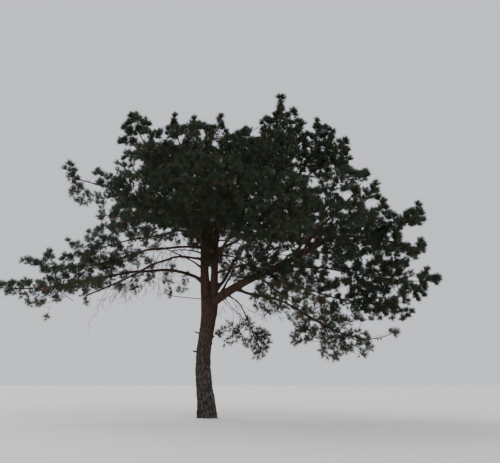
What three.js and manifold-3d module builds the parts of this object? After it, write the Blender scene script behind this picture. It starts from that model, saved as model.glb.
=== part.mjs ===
// An old, open-grown Scots pine, 11 m tall, in millimetres with +Z up.
// The origin is the middle of the flat cut at ground level. +X is the right of the tree and +Y is away from
// the viewer. The trunk forks at 3.5 m into two upright stems and a heavy bough on the right. Boughs carry
// masses of needles: each mass is a stem with twigs, and on the twigs toothed blades that each stand for a
// spray of needles.
import * as THREE from 'three';
import { mergeVertices } from 'three/addons/utils/BufferGeometryUtils.js';
import Module from 'manifold-3d';

const wasm = await Module();
wasm.setup();

// Sizes are in metres unless the name says otherwise, and become millimetres in the shapes.
const METRE_MM = 1000;
const FIT_GAP_MM = 0.3; // between a limb and what carries it
const SKIP_GAP_MM = 6; // a twig or spray nearer than this to another piece is left out

const TRUNK_SIDES = 14;
const STEM_SIDES = 8; // on a limb thicker than THICK_LIMB at its root
const THICK_LIMB = 0.1;
const BOUGH_SIDES = 5;
const BOUGH_RINGS = 5;
const NEEDLE_STEM_SIDES = 4;
const NEEDLE_STEM_RINGS = 3;
const TWIG_SIDES = 3;
const STEEP = 0.95; // a way with more rise than this takes its sides from +Y

const FLARE_LOBES = 5; // root buttresses round the foot
const FLARE_DEPTH = 0.1; // how far a buttress stands out, as a share of the radius
const FLARE_HEIGHT = 0.45; // above this the buttresses have faded

const SIDE_BARE_SHARE = 0.35; // of the stem of a mass that grows from a limb's side
const TIP_BARE_SHARE = 0.04;
const SPACE_OVERRUN = 0.06; // how far a space reaches past its stem's tip
const SPACE_POWER = 4; // 2 would be an ellipsoid, and more is boxier
const SPACE_MARGIN = 0.04; // how much nearer a point must be to its own mass than to another

const SIDE_STEM_RADIUS = 0.04;
const STEM_END_RADIUS = 0.022;
const TWIG_RADIUS = 0.018;
const TWIG_SPACING = 0.68; // along a mass's stem
const TWIG_SHORTEST = 0.4; // as a share of the mass's rise
const TWIG_LEAN_ROOT = 74; // degrees from the stem, near its root and near its tip
const TWIG_LEAN_TIP = 36;
const TWIG_UPTURN = 0.25; // how strongly twigs turn towards the light
const TWIG_WOOD_SHARE = 0.5; // of a twig's length, the rest being its end spray alone
const END_SPRAY_AT = 0.32; // where the end spray's root is, as a share of the twig's length
const GOLDEN_ANGLE = 137.5;
const ROLL_SPREAD = 50; // degrees
const MARCH_STEP = 0.06;

const SPRAY_TEETH = 3;
const SPRAY_LONGEST = 1.5;
const SPRAY_SHORTEST = 0.63; // as a share of the mass's rise
const SPRAY_FAN = 44; // degrees between the middle tooth and the outermost one
const SPRAY_NOTCH = 0.66; // how deep the teeth are cut, as a share of their reach
const SPRAY_SIDE_REACH = 0.9; // the outermost tooth's reach as a share of the middle one's
const SPRAY_THICKNESS = 0.04; // half of it, as a share of the length
const SPRAY_THICKEST_AT = 0.42;
const SIDE_SPRAY_TURN = 52; // degrees from the twig
const SIDE_SPRAY_AT = 0.25; // where it leaves the twig, as a share of its length
const FIT_TRIES = [1, 0.92, 0.84, 0.76, 0.68, 0.6]; // shares of its longest length that a spray is tried at
const STEM_SPRAYS_AT = [0.7, 0.8]; // where the stem's own end sprays start
const STEM_SPRAY_TURN = 5; // degrees from the stem

const CORE_SIZES = [0.51, 0.45, 0.39, 0.33]; // tried in this order, as shares of the space
const CORE_LUMPS = 0.14;

const NEEDLE_GREEN = 0x24341f;
const BARK_GREY_BROWN = 0x4a3c33;
const BARK_RED_BROWN = 0x6b4332;

// The trunk's middle and radius, from the ground to its tip: [height, x, y, radius].
const trunkStations = [
  [0, 0, 0, 0.335],
  [0.18, 0, 0, 0.315],
  [0.5, -0.02, 0, 0.295],
  [1.05, -0.09, 0, 0.268],
  [1.6, -0.14, 0, 0.246],
  [2.1, -0.12, 0, 0.24],
  [2.6, -0.05, 0, 0.244],
  [3.1, 0.02, 0, 0.25],
  [3.5, 0.03, 0, 0.25],
  [4, -0.09, 0, 0.155],
  [4.7, -0.13, 0.01, 0.146],
  [5.8, -0.14, 0.04, 0.134],
  [7, -0.13, 0.06, 0.104],
  [8.3, -0.17, 0.03, 0.06],
];

// The limbs by what carries them. A place is [heading in degrees from +X towards +Y, distance from the
// foot's upright axis, height]. `at` is a height on the trunk, or a share of a limb's length. `slopes` are the
// limb's angles above level at its root and tip, and `radii` its radius at both. `beside` moves its root that
// far to the right.
const limbsOn = {
  trunk: [
    { name: 'second_stem', at: 3.1, beside: 0.15, tip: [3, 1.2, 8.6], slopes: [87, 50], radii: [0.14, 0.05] },
    { name: 'great_bough', at: 3.55, tip: [342, 3.8, 5.4], slopes: [38, 30], radii: [0.15, 0.07] },
    { name: 'bough_far_left', at: 4.3, tip: [185, 3.15, 4.5], slopes: [38, -12], radii: [0.06, 0.034] },
    { name: 'bough_left_middle', at: 5.5, tip: [193, 2.8, 5.05], slopes: [2, -22], radii: [0.045, 0.03] },
    { name: 'bough_left_drooping', at: 5.05, tip: [206, 3.4, 3.95], slopes: [20, -25], radii: [0.042, 0.026] },
    { name: 'bough_left_upper', at: 5.85, tip: [159, 2.55, 6.0], slopes: [38, 0], radii: [0.045, 0.03] },
    { name: 'bough_left_shoulder', at: 6.1, tip: [219, 2.2, 6.15], slopes: [28, 0], radii: [0.05, 0.03] },
    { name: 'bough_upper_left', at: 6.5, tip: [176, 2.95, 7.45], slopes: [22, 22], radii: [0.055, 0.03] },
    { name: 'bough_top_left', at: 7.1, tip: [190, 1.55, 7.85], slopes: [30, 58], radii: [0.055, 0.032] },
    { name: 'bough_front_left', at: 5.75, tip: [243, 1.8, 6.15], slopes: [26, 4], radii: [0.055, 0.032] },
    { name: 'bough_front_middle', at: 6.3, tip: [272, 1.7, 6.6], slopes: [20, 0], radii: [0.055, 0.032] },
    { name: 'bough_back_left', at: 5.9, tip: [124, 2.2, 6.8], slopes: [20, 18], radii: [0.055, 0.032] },
    { name: 'bough_back_middle', at: 6.2, tip: [95, 1.8, 6.95], slopes: [18, 20], radii: [0.055, 0.032] },
  ],
  second_stem: [
    { name: 'bough_top_right', at: 0.66, tip: [12, 2.9, 7.9], slopes: [20, 48], radii: [0.055, 0.032] },
    { name: 'bough_front_right', at: 0.34, tip: [304, 2.2, 5.95], slopes: [30, 2], radii: [0.055, 0.032] },
    { name: 'bough_back_right', at: 0.4, tip: [53, 2.3, 6.35], slopes: [16, 20], radii: [0.055, 0.032] },
  ],
  great_bough: [
    { name: 'bough_right_shoulder', at: 0.78, tip: [8, 3.9, 6.7], slopes: [68, 62], radii: [0.06, 0.034] },
    { name: 'bough_right_upper', at: 0.9, tip: [344, 4.3, 6.05], slopes: [50, 12], radii: [0.055, 0.032] },
    { name: 'bough_far_right', at: 0.68, tip: [357, 3.95, 4.75], slopes: [-14, -6], radii: [0.05, 0.03] },
    { name: 'bough_right_low', at: 0.54, tip: [12, 3.75, 4.1], slopes: [-36, -12], radii: [0.05, 0.03] },
    { name: 'bough_lower_right', at: 0.26, tip: [356, 2.6, 3.6], slopes: [-34, -28], radii: [0.05, 0.03] },
    { name: 'bough_right_inner', at: 0.38, tip: [332, 2.0, 4.3], slopes: [-20, -35], radii: [0.035, 0.024] },
    { name: 'bough_hanging', at: 0.18, tip: [342, 1.15, 3.5], slopes: [-60, -62], radii: [0.028, 0.02] },
    { name: 'bough_front_far_right', at: 0.82, tip: [328, 4.2, 5.75], slopes: [30, 12], radii: [0.05, 0.032] },
    { name: 'bough_back_far_right', at: 0.62, tip: [29, 4, 5.8], slopes: [25, 5], radii: [0.05, 0.032] },
  ],
};

// The masses of needles. `on` is the limb whose tip carries the mass, or with `at` the limb or trunk whose
// side it grows from. `end` is the mass's furthest tip. `rise` and `spread` are half its thickness across the
// stem, upright and level.
const openMasses = [
  { name: 'needles_far_left', on: 'bough_far_left', end: [185, 6.9, 4.1], rise: 0.65, spread: 1.1 },
  { name: 'needles_left_middle', on: 'bough_left_middle', end: [191, 6.05, 4.7], rise: 0.7, spread: 1.1 },
  { name: 'needles_left_drooping', on: 'bough_left_drooping', end: [204, 5.4, 3.25], rise: 0.6, spread: 1 },
  { name: 'needles_left_upper', on: 'bough_left_upper', end: [158, 5.9, 5.65], rise: 0.75, spread: 1.2 },
  { name: 'needles_left_shoulder', on: 'bough_left_shoulder', end: [219, 4.1, 6.05], rise: 0.85, spread: 1.2 },
  { name: 'needles_upper_left', on: 'bough_upper_left', end: [176, 5.25, 8.3], rise: 0.8, spread: 1 },
  { name: 'needles_lower_right', on: 'bough_lower_right', end: [355, 5.6, 2.15], rise: 0.8, spread: 1.1 },
  { name: 'needles_right_inner', on: 'bough_right_inner', end: [323, 4, 3.15], rise: 0.65, spread: 0.9 },
  { name: 'needles_hanging', on: 'bough_hanging', end: [342, 1.95, 1.85], rise: 0.75, spread: 0.8 },
  { name: 'needles_trunk_tuft', on: 'trunk', at: 3.75, end: [195, 1.6, 3.95], rise: 0.26, spread: 0.4 },
];

// The fuller masses, with a core.
const denseMasses = [
  { name: 'needles_right_shoulder', on: 'bough_right_shoulder', end: [8, 4.85, 9.3], rise: 1.1, spread: 1.2 },
  { name: 'needles_right_upper', on: 'bough_right_upper', end: [342, 7.05, 5.95], rise: 0.9, spread: 1.1 },
  { name: 'needles_right_middle', on: 'great_bough', end: [344, 7.1, 5.3], rise: 0.8, spread: 1.1 },
  { name: 'needles_far_right', on: 'bough_far_right', end: [359, 7.7, 4.4], rise: 0.75, spread: 1.1 },
  { name: 'needles_right_low', on: 'bough_right_low', end: [15, 7.5, 3.95], rise: 0.75, spread: 1.1 },
  { name: 'needles_back_far_right', on: 'bough_back_far_right', end: [35, 7.3, 6.1], rise: 1, spread: 1.3 },
  { name: 'needles_right_of_stem', on: 'second_stem', at: 0.26, end: [321, 3.8, 5.25], rise: 0.9, spread: 1.1 },
  { name: 'needles_top_left', on: 'bough_top_left', end: [190, 2.75, 10.1], rise: 0.95, spread: 1.1 },
  { name: 'needles_top_middle', on: 'trunk', end: [200, 0.1, 10.4], rise: 1.05, spread: 1.1 },
  { name: 'needles_top_left_inner', on: 'trunk', at: 7.4, end: [150, 1.85, 10.55], rise: 0.85, spread: 1.1 },
  { name: 'needles_top_right_inner', on: 'second_stem', at: 0.7, end: [338, 1.35, 9.8], rise: 0.85, spread: 1 },
  { name: 'needles_peak', on: 'second_stem', end: [4, 2.6, 10.8], rise: 1, spread: 1.1 },
  { name: 'needles_top_right', on: 'bough_top_right', end: [12, 4.3, 10.35], rise: 1.1, spread: 1.15 },
  { name: 'needles_front_left', on: 'bough_front_left', end: [250, 4.8, 6.3], rise: 0.95, spread: 1.35 },
  { name: 'needles_front_middle', on: 'bough_front_middle', end: [274, 5.2, 6.4], rise: 0.95, spread: 1.35 },
  { name: 'needles_front_right', on: 'bough_front_right', end: [297, 5.6, 5.9], rise: 1.05, spread: 1.3 },
  { name: 'needles_front_top_left', on: 'trunk', at: 6.9, end: [248, 3.4, 8.3], rise: 1, spread: 1.3 },
  { name: 'needles_front_top_right', on: 'second_stem', at: 0.6, end: [303, 3.8, 8.2], rise: 1.15, spread: 1.3 },
  { name: 'needles_front_far_right', on: 'bough_front_far_right', end: [319, 6, 6.6], rise: 0.95, spread: 1.25 },
  { name: 'needles_back_left', on: 'bough_back_left', end: [126, 6, 7.7], rise: 1, spread: 1.4 },
  { name: 'needles_back_middle', on: 'bough_back_middle', end: [91, 5.6, 8.2], rise: 1, spread: 1.4 },
  { name: 'needles_back_right', on: 'bough_back_right', end: [53, 6.25, 7.5], rise: 1.05, spread: 1.4 },
  { name: 'needles_back_top_left', on: 'trunk', at: 7.2, end: [122, 3.8, 9.8], rise: 1, spread: 1.3 },
  { name: 'needles_back_top_right', on: 'second_stem', at: 0.64, end: [58, 3.9, 10.1], rise: 1, spread: 1.3 },
];

const masses = [...openMasses, ...denseMasses.map((mass) => ({ ...mass, dense: true }))];

const UP = new THREE.Vector3(0, 0, 1);
const BACK = new THREE.Vector3(0, 1, 0);
const AXIS = new THREE.Vector3(0, 1, 0); // the way a new cone points
const radians = THREE.MathUtils.degToRad;
const lerp = THREE.MathUtils.lerp;

// A place from its heading, its distance from the upright axis and its height, in millimetres.
function place([heading, out, height]) {
  const angle = radians(heading);
  return new THREE.Vector3(out * Math.cos(angle), out * Math.sin(angle), height).multiplyScalar(METRE_MM);
}

// A repeatable number from 0 to 1 for a seed and a step.
function chance(seed, step) {
  const wave = Math.sin(seed * 12.9898 + step * 78.233) * 43758.5453;
  return wave - Math.floor(wave);
}

// The level direction from one point to another, raised by an angle above level.
function raised(from, to, degrees) {
  const level = to.clone().sub(from).setZ(0).normalize();
  return level.multiplyScalar(Math.cos(radians(degrees))).addScaledVector(UP, Math.sin(radians(degrees)));
}

// A smooth curve between two points with a given direction at each.
function curveBetween(start, startWay, end, endWay) {
  const handle = start.distanceTo(end) / 3;
  return new THREE.CubicBezierCurve3(
    start,
    start.clone().addScaledVector(startWay, handle),
    end.clone().addScaledVector(endWay, -handle),
    end,
  );
}

// The direction square to a way, turned round it by an angle.
function squareTo(way, angle) {
  const side = new THREE.Vector3().crossVectors(way, Math.abs(way.z) > STEEP ? BACK : UP).normalize();
  const lift = new THREE.Vector3().crossVectors(side, way);
  return side.multiplyScalar(Math.cos(angle)).addScaledVector(lift, Math.sin(angle));
}

// A direction turned from one way towards another that is square to it.
function turned(way, towards, degrees) {
  const angle = radians(degrees);
  return way.clone().multiplyScalar(Math.cos(angle)).addScaledVector(towards, Math.sin(angle));
}

// A closed solid for manifold-3d from a geometry whose shared vertices are merged.
function solidOf(geometry) {
  geometry.deleteAttribute('normal');
  geometry.deleteAttribute('uv');
  const merged = mergeVertices(geometry);
  return new wasm.Manifold(
    new wasm.Mesh({
      numProp: 3,
      vertProperties: new Float32Array(merged.attributes.position.array),
      triVerts: new Uint32Array(merged.index.array),
    }),
  );
}

// A closed cylinder whose vertices are moved by a function of angle, share of length and share of radius.
function bentCylinder(sides, rings, move) {
  const geometry = new THREE.CylinderGeometry(1, 1, 1, sides, rings);
  const position = geometry.attributes.position;
  const point = new THREE.Vector3();
  for (let i = 0; i < position.count; i += 1) {
    point.fromBufferAttribute(position, i);
    const angle = Math.atan2(point.z, point.x);
    const moved = move(angle, 0.5 - point.y, Math.hypot(point.x, point.z));
    position.setXYZ(i, moved.x, moved.y, moved.z);
  }
  return solidOf(geometry);
}

// A tapering tube along a curve, its rings square to the curve. `grow` thickens it for a clearance cut.
function taperedTube(curve, [rootRadius, tipRadius], sides, rings, grow = 0) {
  const extra = grow / Math.cos(Math.PI / sides);
  const level = curve.getPoint(1).sub(curve.getPoint(0)).cross(UP);
  return bentCylinder(sides, rings, (angle, share, reach) => {
    const way = curve.getTangent(share);
    const lift = new THREE.Vector3().crossVectors(level, way).normalize();
    const side = new THREE.Vector3().crossVectors(way, lift);
    const radius = (lerp(rootRadius, tipRadius, share) * METRE_MM + extra) * reach;
    return curve
      .getPoint(share)
      .addScaledVector(side, radius * Math.cos(angle))
      .addScaledVector(lift, -radius * Math.sin(angle));
  });
}

// The trunk's middle, in millimetres, and its radius at a height in metres, straight between its stations.
function trunkAt(height) {
  const upper = Math.max(1, trunkStations.findIndex(([level]) => level >= height));
  const [below, above] = trunkStations.slice(upper - 1, upper + 1);
  const share = (height - below[0]) / (above[0] - below[0]);
  const [x, y, radius] = [1, 2, 3].map((k) => lerp(below[k], above[k], share));
  return { middle: new THREE.Vector3(x, y, height).multiplyScalar(METRE_MM), radius };
}

// The trunk: level rings at its stations, with buttresses that fade above the foot.
function trunkSolid(grow = 0) {
  const extra = grow / Math.cos(Math.PI / TRUNK_SIDES);
  const last = trunkStations.length - 1;
  return bentCylinder(TRUNK_SIDES, last, (angle, share, reach) => {
    const height = trunkStations[Math.round(share * last)][0];
    const { middle, radius } = trunkAt(height);
    const fade = Math.max(0, 1 - height / FLARE_HEIGHT);
    const lobed = radius * (1 + FLARE_DEPTH * fade * Math.cos(FLARE_LOBES * angle));
    const out = (lobed * METRE_MM + extra) * reach;
    return middle.add(new THREE.Vector3(out * Math.cos(angle), out * Math.sin(angle), 0));
  });
}

// The largest of a solid's separate bodies.
function largestBody(solid) {
  return solid.decompose().reduce((best, body) => (body.volume() > best.volume() ? body : best));
}

// Where a limb or mass starts on its parent.
function rootOn(parent, at) {
  return parent.curve ? parent.curve.getPoint(at) : trunkAt(at).middle;
}

// The trunk and limbs by name. What grows from a side is cut clear of the trunk and thick limbs.
const grown = new Map();
const cutters = [];
const cutClear = (solid) => largestBody(cutters.reduce((left, cutter) => left.subtract(cutter), solid));
function growLimbs() {
  const { middle, radius } = trunkAt(trunkStations.at(-1)[0]);
  grown.set('trunk', { solid: trunkSolid(), tip: middle, tipWay: UP, tipRadius: radius });
  cutters.push(trunkSolid(FIT_GAP_MM));
  for (const [parentName, limbs] of Object.entries(limbsOn)) {
    for (const limb of limbs) {
      const root = rootOn(grown.get(parentName), limb.at);
      root.x += (limb.beside ?? 0) * METRE_MM;
      const end = place(limb.tip);
      const [startWay, endWay] = limb.slopes.map((slope) => raised(root, end, slope));
      const curve = curveBetween(root, startWay, end, endWay);
      const thick = limb.radii[0] > THICK_LIMB;
      const sides = thick ? STEM_SIDES : BOUGH_SIDES;
      const solid = cutClear(taperedTube(curve, limb.radii, sides, BOUGH_RINGS));
      grown.set(limb.name, { solid, curve, tip: end, tipWay: endWay, tipRadius: limb.radii[1] });
      if (thick) cutters.push(taperedTube(curve, limb.radii, sides, BOUGH_RINGS, FIT_GAP_MM));
    }
  }
}

// A mass's own space: a rounded box along the needled stretch of its stem.
function spaceOf(root, end, mass) {
  const bareEnd = root.clone().lerp(end, mass.at === undefined ? 0 : SIDE_BARE_SHARE);
  const along = end.clone().sub(bareEnd);
  const half = along.length() / 2;
  along.normalize();
  const side = new THREE.Vector3().crossVectors(UP, along).normalize();
  const lift = new THREE.Vector3().crossVectors(along, side);
  return {
    middle: bareEnd.clone().lerp(end, 0.5),
    axes: [along, side, lift],
    halves: [half + SPACE_OVERRUN * METRE_MM, mass.spread * METRE_MM, mass.rise * METRE_MM],
    rise: mass.rise * METRE_MM,
  };
}

// How far out a point is in a space: 0 in its middle and 1 on its skin.
function outness(space, point) {
  const offset = point.clone().sub(space.middle);
  const shares = space.axes.map((axis, k) => Math.abs(offset.dot(axis)) / space.halves[k]);
  return shares.reduce((sum, share) => sum + share ** SPACE_POWER, 0) ** (1 / SPACE_POWER);
}

// Whether a point lies in a space, and nearer to its middle than to any other's.
const spaces = [];
function owns(space, point) {
  const own = outness(space, point);
  return own <= 1 && spaces.every((other) => other === space || outness(other, point) > own + SPACE_MARGIN);
}

// The stem of a mass, and the space that it fills.
function growStem(mass) {
  const parent = grown.get(mass.on);
  const fromTip = mass.at === undefined;
  const end = place(mass.end);
  const root = fromTip
    ? parent.tip.clone().addScaledVector(parent.tipWay, FIT_GAP_MM)
    : rootOn(parent, mass.at);
  const way = end.clone().sub(root).normalize();
  const endWay = way.clone().addScaledVector(UP, TWIG_UPTURN).normalize();
  const curve = curveBetween(root, fromTip ? parent.tipWay : way, end, endWay);
  const radii = [fromTip ? parent.tipRadius : SIDE_STEM_RADIUS, STEM_END_RADIUS];
  const whole = taperedTube(curve, radii, NEEDLE_STEM_SIDES, NEEDLE_STEM_RINGS);
  const stem = fromTip ? whole : cutClear(whole);
  const space = spaceOf(root, end, mass);
  spaces.push(space);
  return { mass, curve, stem, space, bare: fromTip ? TIP_BARE_SHARE : SIDE_BARE_SHARE };
}

// The outline of a spray: its root, then teeth that fan out with notches between them.
function sprayOutline(length) {
  const last = 2 * SPRAY_TEETH - 2;
  const fan = Array.from({ length: last + 1 }, (_, k) => {
    const offMiddle = lerp(-1, 1, k / last);
    const turn = radians(SPRAY_FAN * offMiddle);
    const tooth = length * lerp(1, SPRAY_SIDE_REACH, Math.abs(offMiddle));
    const reach = k % 2 === 0 ? tooth : tooth * SPRAY_NOTCH;
    return [reach * Math.cos(turn), -reach * Math.sin(turn)];
  });
  return [[0, 0], ...fan];
}

// A spray of needles: a closed blade with that outline, thick in its middle.
function spraySolid(root, along, across, length) {
  const outline = sprayOutline(length);
  const normal = new THREE.Vector3().crossVectors(across, along);
  const at = (u, v, w) =>
    root.clone().addScaledVector(along, u).addScaledVector(across, v).addScaledVector(normal, w);
  const geometry = new THREE.SphereGeometry(1, outline.length, 2);
  const position = geometry.attributes.position;
  for (let i = 0; i < position.count; i += 1) {
    const level = Math.round(position.getY(i));
    const column = (i % (outline.length + 1)) % outline.length;
    const [u, v] = level === 0 ? outline[column] : [SPRAY_THICKEST_AT * length, 0];
    const moved = at(u, v, level * SPRAY_THICKNESS * length);
    position.setXYZ(i, moved.x, moved.y, moved.z);
  }
  return { solid: solidOf(geometry), edge: outline.slice(1).map(([u, v]) => at(u, v, 0)) };
}

// Whether a solid comes nearer than the skip gap to any obstacle.
function touches(solid, obstacles) {
  const box = solid.boundingBox();
  return obstacles.some(({ solid: other, box: near }) => {
    const apart = [0, 1, 2].some(
      (k) => box.min[k] > near.max[k] + SKIP_GAP_MM || box.max[k] < near.min[k] - SKIP_GAP_MM,
    );
    return !apart && solid.minGap(other, SKIP_GAP_MM) < SKIP_GAP_MM;
  });
}

// How far a mass's own space reaches from a point in a direction.
function roomAlong(space, root, direction) {
  const step = MARCH_STEP * METRE_MM;
  let length = 0;
  while (owns(space, root.clone().addScaledVector(direction, length + step))) length += step;
  return length;
}

// Where a twig starts on its mass's stem, its direction and how long it grows.
function twigPlan({ curve, space, bare }, seed, k, count) {
  const share = lerp(bare, 0.96, (k + 0.5) / count);
  const way = curve.getTangent(share);
  const roll = radians(GOLDEN_ANGLE * k + ROLL_SPREAD * chance(seed, k));
  const direction = turned(way, squareTo(way, roll), lerp(TWIG_LEAN_ROOT, TWIG_LEAN_TIP, share));
  direction.addScaledVector(UP, TWIG_UPTURN).normalize();
  const root = curve.getPoint(share);
  return { root, direction, length: roomAlong(space, root, direction) };
}

// A twig's wood: a three-sided spike.
function twigSolid({ root, direction, length }) {
  const wood = TWIG_WOOD_SHARE * length;
  const geometry = new THREE.ConeGeometry(TWIG_RADIUS * METRE_MM, wood, TWIG_SIDES);
  geometry.translate(0, wood / 2, 0);
  geometry.applyQuaternion(new THREE.Quaternion().setFromUnitVectors(AXIS, direction));
  geometry.translate(root.x, root.y, root.z);
  return solidOf(geometry);
}

// The sprays of a twig: one at its end and one to a side.
function sprayPlans(twig, seed) {
  const flat = squareTo(twig.direction, 2 * Math.PI * chance(seed, 7));
  return [[END_SPRAY_AT, 0], [SIDE_SPRAY_AT, SIDE_SPRAY_TURN]].map(([share, turn], k) => {
    const along = turned(twig.direction, flat, turn);
    const root = twig.root.clone().addScaledVector(twig.direction, share * twig.length);
    return { root, along, across: squareTo(along, Math.PI * chance(seed, 11 + k)) };
  });
}

// A spray as long as its space lets it be, or shorter, clear of everything, or nothing.
function fittedSpray({ root, along, across }, space, obstacles) {
  const longest = Math.min(roomAlong(space, root, along), SPRAY_LONGEST * METRE_MM);
  for (const share of FIT_TRIES) {
    const length = share * longest;
    if (length < SPRAY_SHORTEST * space.rise) return null;
    const { solid, edge } = spraySolid(root, along, across, length);
    if (edge.every((point) => owns(space, point)) && !touches(solid, obstacles)) return solid;
  }
  return null;
}

// The lumpy core of a dense mass, as large as stays clear of everything, or nothing.
function fittedCore(space, seed, obstacles) {
  for (const size of CORE_SIZES) {
    const geometry = new THREE.OctahedronGeometry(1, 1);
    const position = geometry.attributes.position;
    const ball = new THREE.Vector3();
    for (let i = 0; i < position.count; i += 1) {
      ball.fromBufferAttribute(position, i);
      const lump = size * (1 + CORE_LUMPS * Math.sin(seed + 5 * ball.x + 4 * ball.y + 6 * ball.z));
      const moved = space.middle.clone();
      space.axes.forEach((axis, k) => {
        moved.addScaledVector(axis, lump * space.halves[k] * ball.getComponent(k));
      });
      position.setXYZ(i, moved.x, moved.y, moved.z);
    }
    const solid = solidOf(geometry);
    if (!touches(solid, obstacles)) return solid;
  }
  return null;
}

// A mass of needles as one solid: its stem with twigs, sprays and, where it is dense, a core.
function growMass(grownStem, seed, obstacles) {
  const { space, curve, mass, bare } = grownStem;
  const pieces = [grownStem.stem];
  if (mass.dense) pieces.push(fittedCore(space, seed, obstacles));
  const count = Math.round((curve.getLength() * (1 - bare)) / (TWIG_SPACING * METRE_MM));
  for (let k = 0; k < count; k += 1) {
    const twig = twigPlan(grownStem, seed, k, count);
    if (twig.length < TWIG_SHORTEST * space.rise) continue;
    const solid = twigSolid(twig);
    if (touches(solid, obstacles)) continue;
    pieces.push(solid);
    for (const plan of sprayPlans(twig, seed + k)) pieces.push(fittedSpray(plan, space, obstacles));
  }
  STEM_SPRAYS_AT.forEach((share, k) => {
    const roll = Math.PI * (chance(seed, 3) + k / 2);
    const way = curve.getTangent(1);
    const along = turned(way, squareTo(way, roll), STEM_SPRAY_TURN);
    const plan = { root: curve.getPoint(share), along, across: squareTo(along, roll) };
    pieces.push(fittedSpray(plan, space, obstacles));
  });
  return largestBody(wasm.Manifold.union(pieces.filter(Boolean)));
}

// A named three.js mesh of a solid.
function meshOf(name, solid, colour) {
  const { vertProperties, triVerts } = solid.getMesh();
  const geometry = new THREE.BufferGeometry();
  geometry.setAttribute('position', new THREE.BufferAttribute(vertProperties, 3));
  geometry.setIndex(new THREE.BufferAttribute(triVerts, 1));
  geometry.computeVertexNormals();
  const material = new THREE.MeshStandardMaterial({ color: colour, roughness: 0.9, metalness: 0 });
  const mesh = new THREE.Mesh(geometry, material);
  mesh.name = name;
  return mesh;
}

const boxed = (solid) => ({ solid, box: solid.boundingBox() });

const tree = new THREE.Group();
growLimbs();
for (const [name, { solid }] of grown) {
  tree.add(meshOf(name, solid, name === 'trunk' ? BARK_GREY_BROWN : BARK_RED_BROWN));
}
const limbObstacles = [...grown.values()].map(({ solid }) => boxed(solid));
const stems = masses.map(growStem);
const finished = [];
stems.forEach((grownStem, index) => {
  const otherStems = stems.filter((other) => other !== grownStem).map(({ stem }) => boxed(stem));
  const solid = growMass(grownStem, index + 1, [...limbObstacles, ...otherStems, ...finished]);
  finished.push(boxed(solid));
  tree.add(meshOf(grownStem.mass.name, solid, NEEDLE_GREEN));
});

export default tree;
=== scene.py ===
import functools
import math

import bmesh
import bpy
import numpy as np
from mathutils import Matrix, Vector, noise


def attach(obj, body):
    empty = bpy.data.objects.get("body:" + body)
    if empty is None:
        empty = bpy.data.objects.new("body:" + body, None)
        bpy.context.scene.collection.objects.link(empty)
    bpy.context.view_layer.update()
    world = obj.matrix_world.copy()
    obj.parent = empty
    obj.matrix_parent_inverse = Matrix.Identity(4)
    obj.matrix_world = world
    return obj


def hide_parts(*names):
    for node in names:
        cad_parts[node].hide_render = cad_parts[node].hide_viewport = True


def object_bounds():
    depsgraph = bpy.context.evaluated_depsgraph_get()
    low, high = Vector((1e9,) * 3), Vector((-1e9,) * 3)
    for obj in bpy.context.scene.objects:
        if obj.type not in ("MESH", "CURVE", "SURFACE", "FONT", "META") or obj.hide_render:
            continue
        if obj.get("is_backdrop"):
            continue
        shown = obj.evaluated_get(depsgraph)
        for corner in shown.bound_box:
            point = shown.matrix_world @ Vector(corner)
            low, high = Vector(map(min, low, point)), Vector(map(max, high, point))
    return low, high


bl_info = {
    "name": "Scots pine",
    "version": (1, 0, 0),
    "blender": (4, 5, 0),
    "location": "View3D > Sidebar > Pine",
    "description": "Grows the bark, boughs, twigs, needles and cones of an old Scots pine",
    "category": "Object",
}

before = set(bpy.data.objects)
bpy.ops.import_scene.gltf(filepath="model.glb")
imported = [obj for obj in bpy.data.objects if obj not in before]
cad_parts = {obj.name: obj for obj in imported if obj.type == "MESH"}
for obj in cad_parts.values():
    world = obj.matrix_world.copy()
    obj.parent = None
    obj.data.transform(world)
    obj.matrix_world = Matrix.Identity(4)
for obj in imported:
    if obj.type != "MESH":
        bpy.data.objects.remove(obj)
CAD_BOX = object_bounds()
BODY = "root"

UP = np.array([0.0, 0.0, 1.0])
BACK = np.array([0.0, 1.0, 0.0])
GOLDEN_ANGLE = 137.5
STEEP = 0.95  # a way with more rise than this takes its sides from +Y

# The trunk's middle and radius, from the ground to its tip: height, x, y, radius.
TRUNK_STATIONS = np.array([
    (0, 0, 0, 0.335), (0.18, 0, 0, 0.315), (0.5, -0.02, 0, 0.295), (1.05, -0.09, 0, 0.268),
    (1.6, -0.14, 0, 0.246), (2.1, -0.12, 0, 0.24), (2.6, -0.05, 0, 0.244), (3.1, 0.02, 0, 0.25),
    (3.5, 0.03, 0, 0.25), (4, -0.09, 0, 0.155), (4.7, -0.13, 0.01, 0.146), (5.8, -0.14, 0.04, 0.134),
    (7, -0.13, 0.06, 0.104), (8.3, -0.17, 0.03, 0.06),
])
TRUNK_TOP = TRUNK_STATIONS[-1, 0]

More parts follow.
